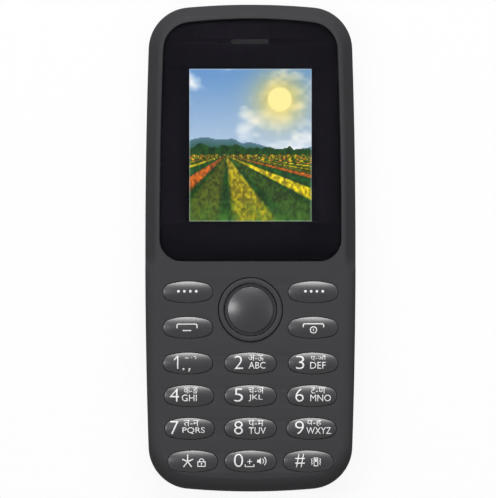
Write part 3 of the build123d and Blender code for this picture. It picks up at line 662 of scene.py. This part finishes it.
def between(first, second, share):
    """Colours mixed by share, cell by cell."""
    share = np.clip(share, 0.0, 1.0)[..., None]
    return np.array(first) * (1 - share) + np.array(second) * share


def picture_colours(u, v):
    """Sky that pales downwards with drifting cloud and a low sun, two ridges, and rows of flowers that meet at a
    point on the skyline, as display colours from 0 to 1."""
    cloud = 0.55 * soft_noise(u, v * 2.2, 4, 3) + 0.3 * soft_noise(u, v * 2.2, 9, 4) + 0.15 * soft_noise(u, v * 2, 22, 5)
    sky = between((0.72, 0.8, 0.88), (0.42, 0.6, 0.8), (v - 0.45) / 0.5)
    sky = between(sky, (0.93, 0.95, 0.97), (cloud - 0.5) * 3.2)
    sun = np.hypot((u - 0.74) * 0.8, v - 0.8)
    sky = between(sky, (1.0, 0.86, 0.3), np.exp(-((sun / 0.17) ** 2)) * 0.75)
    sky = between(sky, (1.0, 0.95, 0.62), (0.085 - sun) / 0.012)
    ridge = 0.5 + 0.035 * np.sin(5.0 * u + 0.6) + 0.02 * soft_noise(u, u * 0, 14, 7)
    hills = between((0.33, 0.47, 0.55), (0.2, 0.38, 0.33), (ridge - v) / 0.05)
    trees = 0.45 + 0.05 * soft_noise(u, u * 0, 11, 8) + 0.02 * soft_noise(u, u * 0, 34, 9)
    leaves = between((0.04, 0.16, 0.06), (0.16, 0.36, 0.12), soft_noise(u, v, 60, 10))
    skyline = 0.435
    depth = np.maximum(skyline - v, 0.004)
    lane = (u - 0.3) / depth * 0.9 + 40.0
    stripe = np.floor(lane).astype(int) % len(BLOOMS)
    flowers = np.array(BLOOMS)[stripe]
    furrow = np.abs(lane - np.floor(lane) - 0.5) * 2
    flowers = between(flowers, (0.1, 0.3, 0.08), (furrow - 0.62) * 4.0)
    speckle = soft_noise(u, v, 63, 11)
    flowers = flowers * (0.45 + 0.75 * speckle)[..., None]
    flowers = between(flowers, (0.3, 0.5, 0.15), (0.16 - v) / 0.16 * soft_noise(u, v, 30, 12))
    colour = np.where((v < ridge)[..., None], hills, sky)
    colour = np.where((v < trees)[..., None], leaves, colour)
    colour = np.where((v < skyline)[..., None], flowers, colour)
    edge = np.minimum(np.minimum(u, 1 - u) * SCREEN_CELLS[0], np.minimum(v, 1 - v) * SCREEN_CELLS[1])
    return np.clip(between(colour, (0.75, 0.8, 0.85), (edge < 1.0) * 0.45), 0.0, 1.0)


def screen_picture():
    """The lit area as a grid of square cells, each of one colour, on the display panel's face."""
    columns, rows = SCREEN_CELLS
    across = np.linspace(-SCREEN_WIDTH / 2, SCREEN_WIDTH / 2, columns + 1)
    x, y = np.meshgrid(across, np.linspace(-SCREEN_LENGTH / 2, SCREEN_LENGTH / 2, rows + 1))
    u, v = np.meshgrid((np.arange(columns) + 0.5) / columns, (np.arange(rows) + 0.5) / rows)
    shown = picture_colours(u, v)
    linear = np.where(shown <= 0.04045, shown / 12.92, ((shown + 0.055) / 1.055) ** 2.4)
    colours = np.ones((rows * columns, 4, 4), np.float32)
    colours[:, :, :3] = linear.reshape(-1, 1, 3)
    mesh = bpy.data.meshes.new("screen_picture")
    points = np.column_stack([x.ravel(), y.ravel() + SCREEN_Y, np.full(x.size, PANEL_Z + 0.02)])
    mesh.from_pydata((points * MM).tolist(), [], grid_faces(x.shape))
    layer = mesh.color_attributes.new("picture", "FLOAT_COLOR", "CORNER")
    layer.data.foreach_set("color", colours.ravel())
    place("screen_picture", mesh, glow_finish, "housing", "display_glass")


screen_picture()


# Keys


def key_height(x, y, length):
    """Height of a key's domed top at x, y from its middle: highest there, and falling by
    0.3 * |x / half length| ** 3 + 0.62 * (y / half width) ** 2."""
    return KEY_TOP_Z - 0.3 * np.abs(x / (length / 2)) ** 3 - 0.62 * (y / KEY_HALF_WIDTH) ** 2


def key_cap(name):
    """One key: domed top, rounded edge and upright skirt, closed below."""
    x, y, length = KEY_PLACES[name]
    edge = 0.08
    rows = []
    top_plan = key_plan(length, -edge)
    for share in np.concatenate([[0.03], np.linspace(0.1, 1.0, 13)]):
        plan = top_plan * share
        rows.append(at_height(plan, key_height(plan[:, 0], plan[:, 1], length), (x, y)))
    for turn in np.linspace(0.0, math.pi / 2, 8)[1:]:
        plan = key_plan(length, -edge * (1 - math.sin(turn)))
        height = key_height(plan[:, 0], plan[:, 1], length) - edge * (1 - math.cos(turn))
        rows.append(at_height(plan, height, (x, y)))
    rows += [at_height(key_plan(length), z, (x, y)) for z in (KEY_SKIRT_Z, MAT_Z)]
    parts = [skin(rows), disc(rows[0]), disc(rows[-1], up=False)]
    make_piece(name + "_cap", parts, key_finish, name, "key_plastic", [name], 50.0)


def turned(profile, place_at, steps=144):
    """A profile of (radius, height) points carried once round an upright axis."""
    return skin([at_height(ring_plan(radius, steps), z, place_at) for radius, z in profile])


def quarter_round(radius, height, size, start, stop, steps=6):
    """Profile points on a small circle of that size, by angle from straight up."""
    angle = np.radians(np.linspace(start, stop, steps))
    return list(zip(radius + size * np.sin(angle), height + size * np.cos(angle)))


def navigation_key():
    """The crowned ring and the domed key inside it."""
    centre = (0.0, NAV_Y)
    profile = [(RING_INSIDE, RING_FOOT_Z), (RING_INSIDE, 13.5)]
    profile += quarter_round(6.33, 13.92, 0.18, -90, -8)
    profile += [(r, 14.12 - 0.05 * ((r - 6.68) / 0.35) ** 2) for r in np.linspace(6.36, 7.02, 7)]
    profile += quarter_round(7.05, 13.87, 0.2, 12, 90)
    profile += [(RING_OUTSIDE, 13.3), (RING_OUTSIDE, RING_FOOT_Z)]
    parts = [turned(profile, centre), turned([profile[-1], profile[0]], centre)]
    make_piece("nav_ring_cap", parts, ring_finish, "nav_ring", "key_plastic", ["nav_ring"], 50.0)

    reach = 5.05
    dome = [(r, 14.75 - 0.72 * (r / reach) ** 2) for r in np.concatenate([[0.05], np.linspace(0.4, reach, 22)])]
    dome += quarter_round(5.06, 13.88, 0.15, 20, 90)
    dome += [(5.23, 13.3), (5.3, 13.12), (5.5, 13.1), (5.82, 13.12)]
    dome += quarter_round(5.87, 13.04, 0.08, 20, 90, 4)
    dome += [(OK_RADIUS, KEY_SKIRT_Z), (OK_RADIUS, MAT_Z)]
    rows = [at_height(ring_plan(radius), z, centre) for radius, z in dome]
    parts = [skin(rows), disc(rows[0]), disc(rows[-1], up=False)]
    make_piece("ok_key_cap", parts, dome_finish, "ok_key", "key_plastic", ["ok_key"], 40.0)


for key in KEY_PLACES:
    key_cap(key)
navigation_key()


# Camera eye: what shows through the window in the back


def turned_solid(name, profile, material, slot):
    """A closed profile of (radius, height) points carried once round the camera's axis, with its faces outwards: where
    its signed volume comes out negative, every face is turned over."""
    points, faces = turned(profile + profile[:1], CAMERA_PLACE, 72)
    a, b, c, d = points[np.array(faces)].transpose(1, 0, 2)
    if (a * (np.cross(b, c) + np.cross(c, d))).sum() < 0:
        faces = [face[::-1] for face in faces]
    make_piece(name, [(points, faces)], material, "housing", slot, (), 30.0)


def camera_eye():
    """A stepped barrel, a glass dome in it, and the black ring printed behind the window."""
    steps = [(2.5, 1.62), (2.25, 1.62), (2.15, 1.78), (1.8, 1.78), (1.72, 2.0), (1.35, 2.0), (1.28, 2.2)]
    turned_solid("camera_barrel", steps + [(1.28, 2.6), (2.5, 2.6)], barrel_finish, "chip_black")
    wide, middle = 1.26, 0.005
    dome = [(max(r, middle), 1.86 + 0.3 * (r / wide) ** 2) for r in np.linspace(0.0, wide, 12)]
    turned_solid("camera_glass", dome + [(wide, 2.5), (middle, 2.5)], eye_finish, "display_glass")
    ring = [(2.55, 1.44), (3.58, 1.44), (3.58, 1.47), (2.55, 1.47)]
    turned_solid("camera_ring_print", ring, print_finish, "chip_black")


camera_eye()


# Legends: flat shapes printed on the domed keys


def letters(text, left, right, bottom, top, thinned=0.0):
    """Text in the default face, its strokes thinned by a share of their size, stretched into a box."""
    curve = bpy.data.curves.new("letters", "FONT")
    curve.body = text
    curve.resolution_u = 4
    curve.offset = -thinned
    holder = in_scene("letters", curve)
    bpy.context.view_layer.update()
    mesh = bpy.data.meshes.new_from_object(holder.evaluated_get(bpy.context.evaluated_depsgraph_get()))
    points = np.empty(len(mesh.vertices) * 3)
    mesh.vertices.foreach_get("co", points)
    points = points.reshape(-1, 3)[:, :2]
    faces = [list(p.vertices) for p in mesh.polygons]
    bpy.data.objects.remove(holder)
    bpy.data.curves.remove(curve)
    bpy.data.meshes.remove(mesh)
    low, high = points.min(0), points.max(0)
    share = (points - low) / (high - low)
    return np.array([left, bottom]) + share * np.array([right - left, top - bottom]), faces


def band(line, width, closed=False):
    """A line of points given a width: each point moved half the width to either side along its corner's bisector."""
    line = np.array(line, float)
    if closed:
        before, after = np.roll(line, 1, axis=0), np.roll(line, -1, axis=0)
    else:
        before = np.vstack([line[:1] * 2 - line[1:2], line[:-1]])
        after = np.vstack([line[1:], line[-1:] * 2 - line[-2:-1]])
    first = (line - before) / np.linalg.norm(line - before, axis=1, keepdims=True)
    second = (after - line) / np.linalg.norm(after - line, axis=1, keepdims=True)
    side = np.column_stack([-(first + second)[:, 1], (first + second)[:, 0]])
    side /= np.linalg.norm(side, axis=1, keepdims=True)
    reach = width / 2 / np.clip((side * np.column_stack([-first[:, 1], first[:, 0]])).sum(1, keepdims=True), 0.35, 1.0)
    points = np.vstack([line - side * reach, line + side * reach])
    count = len(line)
    here = np.arange(count if closed else count - 1)
    ahead = (here + 1) % count
    return points, np.column_stack([here, ahead, ahead + count, here + count]).tolist()


def dot(x, y, radius):
    """A round dot."""
    points = ring_plan(radius, 20) + (x, y)
    return points, [list(range(20))]


def blot(*corners):
    """A flat shape with these corners, counterclockwise."""
    return np.array(corners, float), [list(range(len(corners)))]


def arc_points(x, y, radius, start, stop, steps=10):
    """Points on an arc, by angle in degrees."""
    angle = np.radians(np.linspace(start, stop, steps))
    return [(x + radius * math.cos(a), y + radius * math.sin(a)) for a in angle]


def handset(left, right, top, drop, turn=0.35):
    """The long bracket of a telephone sign, with rounded shoulders."""
    line = [(left, top - drop)] + arc_points(left + turn, top - turn, turn, 180, 90, 5)
    line += arc_points(right - turn, top - turn, turn, 90, 0, 5) + [(right, top - drop)]
    return band(line, 0.26)


def padlock(x, y):
    """A padlock sign."""
    body = [(x - 0.85, y - 0.7), (x + 0.85, y - 0.7), (x + 0.85, y + 0.35), (x - 0.85, y + 0.35)]
    shackle = [(x - 0.5, y + 0.46)] + arc_points(x, y + 0.55, 0.5, 180, 0, 9) + [(x + 0.5, y + 0.46)]
    slit = blot((x - 0.09, y - 0.5), (x + 0.09, y - 0.5), (x + 0.09, y - 0.3), (x - 0.09, y - 0.3))
    return [band(body, 0.22, closed=True), band(shackle, 0.2), dot(x, y - 0.1, 0.2), slit]


def plus_tray(x, y):
    """A plus over the bracket of a space bar."""
    arm, half = 0.55, 0.11
    right = [(half, -0.35), (half, 0.1), (arm, 0.1), (arm, 0.3), (half, 0.3), (half, 0.75)]
    left = [(-across, up) for across, up in right[::-1]]
    plus = blot(*[(x + across, y + up) for across, up in left[-1:] + right + left[:-1]])
    tray = band([(x - 1.0, y - 0.45), (x - 1.0, y - 0.95), (x + 1.0, y - 0.95), (x + 1.0, y - 0.45)], 0.22)
    return [plus, tray]


def sounder(x, y):
    """A small loudspeaker with two sound waves."""
    outline = ((-1.1, -0.3), (-0.7, -0.3), (-0.2, -0.8), (-0.2, 0.8), (-0.7, 0.3), (-1.1, 0.3))
    cone = blot(*[(x + across, y + up) for across, up in outline])
    near = band(arc_points(x - 0.3, y, 0.7, -48, 48, 9), 0.2)
    far = band(arc_points(x - 0.3, y, 1.25, -48, 48, 11), 0.2)
    return [cone, near, far]


def buzzer(x, y):
    """A handset that shakes, for the silent mode."""
    outline = [(x - 0.42, y - 0.95), (x + 0.42, y - 0.95), (x + 0.42, y + 0.85), (x - 0.42, y + 0.85)]
    case = band(outline, 0.2, closed=True)
    screen = blot((x - 0.24, y - 0.1), (x + 0.24, y - 0.1), (x + 0.24, y + 0.6), (x - 0.24, y + 0.6))
    shakes = []
    for side in (-1, 1):
        wave = [(x + side * (0.95 + 0.1 * (-1) ** i), y - 0.75 + 0.3 * i) for i in range(6)]
        shakes.append(band(wave, 0.17))
    return [case, screen] + shakes


def one_mark(left, right, bottom, top):
    """The figure one: a stem with a short flag."""
    inner = right - 0.29
    flag = ((right - 0.261, top), (left, top - 0.75), (left, top - 1.12), (inner, top - 0.5))
    return blot((inner, bottom), (right, bottom), (right, top), *flag)


def star_mark(x, y):
    """A star sign of five thin arms."""
    tips = ((0.0, 1.6), (-1.25, 0.55), (1.25, 0.55), (-0.95, -1.25), (0.95, -1.25))
    return [band([(x, y), (x + across, y + up)], 0.27) for across, up in tips]


def signs(digit, digit_box, latin, latin_box, indic, indic_box):
    """A number key's digit, and the two short texts beside it, each from its left to its right."""
    return [
        letters(digit, *digit_box, -1.34, 1.72, 0.012),
        letters(latin, *latin_box, -1.25, 0.29),
        letters(indic, *indic_box, 0.57, 1.92, 0.004),
    ]


LEGENDS = {
    "softkey_left": [dot(x, 0.14, 0.31) for x in (-2.24, -0.87, 0.5, 1.85)],
    "softkey_right": [dot(x, 0.14, 0.31) for x in (-1.83, -0.51, 0.81, 2.14)],
    "call_key": [handset(-2.57, 2.04, 0.78, 0.95), band([(-1.28, -0.71), (0.72, -0.71)], 0.3)],
    "end_key": [
        handset(-2.33, 2.35, 0.86, 0.85),
        band(arc_points(0.02, -0.55, 0.72, 0, 345, 24), 0.24, closed=True),
        band([(0.02, -0.85), (0.02, -0.25)], 0.22),
    ],
    "key_1": [
        one_mark(-3.25, -2.25, -1.34, 1.72),
        dot(-1.06, -1.36, 0.25),
        blot((0.05, -2.0), (0.25, -2.0), (0.55, -1.15), (0.15, -1.15)),
        band([(-0.75, 1.2), (0.1, 1.2)], 0.16),
        dot(0.75, 1.3, 0.1),
        band(arc_points(1.5, 1.25, 0.3, 150, -60, 8), 0.14),
    ],
    "key_2": signs("2", (-3.77, -1.79), "ABC", (-0.48, 3.38), "अ-ऊ", (-0.53, 2.96)),
    "key_3": signs("3", (-4.0, -2.07), "DEF", (-0.74, 2.85), "ए-औ", (-0.64, 2.89)),
    "key_4": signs("4", (-4.46, -2.34), "GHI", (-1.72, 1.72), "क-ङ", (-1.26, 1.98)),
    "key_5": signs("5", (-3.83, -1.8), "JKL", (-0.48, 2.69), "च-ञ", (-0.53, 3.0)),
    "key_6": signs("6", (-3.88, -1.95), "MNO", (-0.44, 4.27), "ट-ण", (-0.34, 3.02)),
    "key_7": signs("7", (-4.55, -2.56), "PQRS", (-1.69, 3.41), "त-न", (-1.4, 2.08)),
    "key_8": signs("8", (-3.83, -1.8), "TUV", (-0.48, 3.47), "प-म", (-0.53, 2.96)),
    "key_9": signs("9", (-3.84, -1.77), "WXYZ", (-1.24, 4.45), "य-ह", (-1.15, 2.25)),
    "key_star": star_mark(-1.25, -0.1) + padlock(1.93, -0.5),
    "key_0": [letters("0", -3.88, -1.75, -1.34, 1.72, 0.012)] + plus_tray(-0.27, -0.3) + sounder(2.55, 0.0),
    "key_hash": [letters("#", -3.06, -0.83, -1.45, 1.65, 0.008)] + buzzer(1.72, -0.12),
}


def print_legend(name):
    """A key's signs laid on its dome: cut into small patches, then each point lifted to the dome's height there."""
    x, y, length = KEY_PLACES[name]
    points, faces = gathered([(np.column_stack([p, np.zeros(len(p))]), f) for p, f in LEGENDS[name]])
    mesh = bpy.data.meshes.new("legend_" + name)
    mesh.from_pydata(points.tolist(), [], faces)
    work = bmesh.new()
    work.from_mesh(mesh)
    for face in work.faces:
        if face.normal.z < 0:
            face.normal_flip()
    cuts = [((c, 0, 0), (1, 0, 0)) for c in np.arange(-4.8, 4.9, 0.4)]
    cuts += [((0, c, 0), (0, 1, 0)) for c in np.arange(-2.1, 2.2, 0.3)]
    for point, normal in cuts:
        everything = work.verts[:] + work.edges[:] + work.faces[:]
        bmesh.ops.bisect_plane(work, geom=everything, plane_co=point, plane_no=normal)
    work.to_mesh(mesh)
    work.free()
    flat = np.empty(len(mesh.vertices) * 3)
    mesh.vertices.foreach_get("co", flat)
    flat = flat.reshape(-1, 3)
    proud = 0.012
    height = key_height(flat[:, 0], flat[:, 1], length) + proud
    placed = np.column_stack([flat[:, 0] + x + LEGEND_SHIFT, flat[:, 1] + y, height]) * MM
    mesh.vertices.foreach_set("co", placed.ravel())
    mesh.update()
    mesh.shade_smooth()
    piece = place("legend_" + name, mesh, legend_finish, name, "key_plastic")
    thicken(piece, "ink", INK)


for key in KEY_PLACES:
    print_legend(key)


# Finishes of the solids that show as they are

RUBBER = {"Subsurface Weight": 0.2, "Subsurface Scale": 0.002}
SOLID_FINISHES = {
    "frame_plastic": (
        frame_finish,
        "rear_frame lcd_tray contact_block headphone_jack loudspeaker antenna_carrier nav_carrier",
    ),
    "housing_plastic": (housing_finish, "battery_cover"),
    "clear_plastic": (clear_finish("torch_window_plastic", (0.95, 0.96, 1.0)), "torch_lens camera_window"),
    "display_glass": (finish("panel_glass", (0.006, 0.006, 0.007), 0.2, wear=0.0), "lcd_panel"),
    "silicone": (finish("keypad_silicone", (0.35, 0.36, 0.37), 0.62, constants=RUBBER), "keypad_mat"),
    "foam": (finish("gasket_foam", (0.02, 0.02, 0.02), 0.95, grain=2600.0, depth=0.08), "display_gasket"),
    "tape": (finish("adhesive_tape", (0.03, 0.03, 0.03), 0.6), "lens_adhesive"),
    "film": (finish("dome_film", (0.5, 0.5, 0.48), 0.35), "dome_sheet"),
    "circuit_board": (
        finish("board_green", (0.015, 0.09, 0.04), 0.38, grain=1800.0, depth=0.02, patchy=0.3),
        "main_board",
    ),
    "chip_black": (finish("chip_epoxy", (0.018, 0.018, 0.02), 0.5), "baseband_chip camera_module microphone"),
    "flexible_circuit": (finish("flex_amber", (0.36, 0.16, 0.03), 0.35), "lcd_flex antenna_strip"),
    "sheet_steel": (
        finish("stamped_steel", (0.55, 0.55, 0.54), 0.33, constants=STEEL),
        "shield_can sim_socket_left sim_socket_right memory_card_socket earpiece_receiver charge_port housing_screws "
        "metal_domes speaker_mesh vibration_motor",
    ),
    "gilt_contact": (finish("gilt_contact", (0.85, 0.6, 0.25), 0.28, constants=STEEL), "battery_contacts"),
    "battery_wrap": (finish("battery_wrap", (0.12, 0.13, 0.14), 0.4, grain=1500.0, depth=0.01), "battery"),
    "light_package": (finish("light_package", (0.8, 0.78, 0.6), 0.3), "torch_led keypad_leds"),
    "tungsten": (finish("tungsten_weight", (0.3, 0.3, 0.31), 0.4, constants=STEEL), "vibration_weight"),
}

for material, nodes in SOLID_FINISHES.values():
    for node in nodes.split():
        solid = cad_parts[node]
        if not solid.material_slots:
            solid.data.materials.append(material)
        for holder in solid.material_slots:
            holder.link = "OBJECT"
            holder.material = material


# Floor, light and camera


def shown_rays(tree):
    """1 for rays that see the background itself: from the camera, a gloss or a clear piece."""
    light_path = add(tree, "ShaderNodeLightPath").outputs
    either = maths(tree, "MAXIMUM", light_path["Is Camera Ray"], light_path["Is Glossy Ray"])
    return maths(tree, "MAXIMUM", either, light_path["Is Transmission Ray"])


def studio_floor():
    """A clear table top over the white world. It keeps the phone's shadow, fades out round it, and hides nothing that
    a pose brings below it."""
    mesh = bpy.data.meshes.new("floor")
    corners = [(x * FLOOR_REACH, y * FLOOR_REACH, FLOOR_Z) for x, y in ((-1, -1), (1, -1), (1, 1), (-1, 1))]
    mesh.from_pydata(corners, [], [(0, 1, 2, 3)])
    floor = in_scene("floor", mesh)
    material, tree, base = new_material("table_top")
    base.inputs["Base Color"].default_value = (0.9, 0.9, 0.9, 1.0)
    base.inputs["Roughness"].default_value = 0.9
    base.inputs["Specular IOR Level"].default_value = 0.0
    spot = add(tree, "ShaderNodeTexCoord")
    away = add(tree, "ShaderNodeVectorMath", {"operation": "LENGTH"}, links={0: spot.outputs["Object"]})
    share = ranged(tree, away.outputs["Value"], 0.12, 0.45, 0.1, 0.0)
    clear = add(tree, "ShaderNodeBsdfTransparent")
    top = mixed(tree, maths(tree, "MULTIPLY", shown_rays(tree), share), clear.outputs[0], base.outputs[0])
    tree.links.new(top, tree.nodes["Material Output"].inputs["Surface"])
    mesh.materials.append(material)


def studio_world():
    """Soft light, 1.6 z^5 from overhead and 0.2 + 0.9 z^3 from below, where z is the sine of the height. The camera
    sees it as white. Glossy and clear pieces see it as white below, pale at the table's edge and dim above."""
    world = bpy.data.worlds.new("studio")
    world.use_nodes = True
    bpy.context.scene.world = world
    tree = world.node_tree
    tree.nodes.clear()
    ray = add(tree, "ShaderNodeTexCoord")
    height = add(tree, "ShaderNodeSeparateXYZ", links={0: ray.outputs["Generated"]}).outputs["Z"]
    ramp = add(tree, "ShaderNodeValToRGB", links={"Fac": height})
    stops = ramp.color_ramp.elements
    stops[0].position, stops[0].color = 0.06, (0.92, 0.92, 0.92, 1.0)
    stops[1].position, stops[1].color = 0.97, (0.105, 0.096, 0.133, 1.0)
    for position, level in ((0.0, 1.0), (0.2, 0.28), (0.7, 0.2)):
        stops.new(position).color = (level, level, level, 1.0)
    mirrored = add(tree, "ShaderNodeBackground", links={"Color": ramp.outputs["Color"]})

    overhead = maths(tree, "POWER", maths(tree, "MAXIMUM", height, 0.0), 5.0)
    above = maths(tree, "ADD", maths(tree, "MULTIPLY", overhead, 1.6), 0.01)
    under = maths(tree, "MAXIMUM", maths(tree, "MULTIPLY", height, -1.0), 0.0)
    bounce = maths(tree, "ADD", maths(tree, "MULTIPLY", maths(tree, "POWER", under, 3.0), 0.9), 0.2)
    below = maths(tree, "MULTIPLY", bounce, maths(tree, "GREATER_THAN", under, 0.0))
    strength = maths(tree, "ADD", above, below)
    white = {"Color": (1.0, 1.0, 1.0, 1.0)}
    felt = add(tree, "ShaderNodeBackground", values=white, links={"Strength": strength})
    backdrop = add(tree, "ShaderNodeBackground", values=white)
    light_path = add(tree, "ShaderNodeLightPath").outputs
    light = mixed(tree, shown_rays(tree), felt.outputs[0], mirrored.outputs[0])
    lit = mixed(tree, light_path["Is Camera Ray"], light, backdrop.outputs[0])
    tree.links.new(lit, add(tree, "ShaderNodeOutputWorld").inputs["Surface"])


def softbox(name, at, size, power):
    """A rectangular soft light that faces the phone."""
    lamp = bpy.data.lights.new(name, "AREA")
    lamp.shape = "RECTANGLE"
    lamp.size, lamp.size_y = size
    lamp.energy = power
    holder = in_scene(name, lamp)
    holder.location = at
    holder.rotation_mode = "QUATERNION"
    holder.rotation_quaternion = (-Vector(at)).to_track_quat("-Z", "Y")
    holder.visible_camera = False


def studio_camera():
    """Straight above the phone, with a long lens: focal length = sensor * distance / height of the view there."""
    camera = bpy.data.cameras.new("camera")
    camera.sensor_width = 36.0
    camera.lens = camera.sensor_width * VIEW_DISTANCE / VIEW_HEIGHT
    holder = in_scene("camera", camera)
    holder.location = CAMERA_AT
    bpy.context.scene.camera = holder


studio_floor()
studio_world()
softbox("softbox_far", (0.0, 0.65, 0.47), (0.5, 0.3), 3.8)
softbox("softbox_high", (0.0, 0.5, 0.62), (0.6, 0.16), 0.5)
softbox("softbox_left", (-0.42, 0.04, 0.68), (0.16, 0.3), 1.0)
softbox("softbox_right", (0.57, 0.0, 0.57), (0.3, 0.4), 0.3)
studio_camera()
bpy.context.scene.view_settings.view_transform = "Standard"
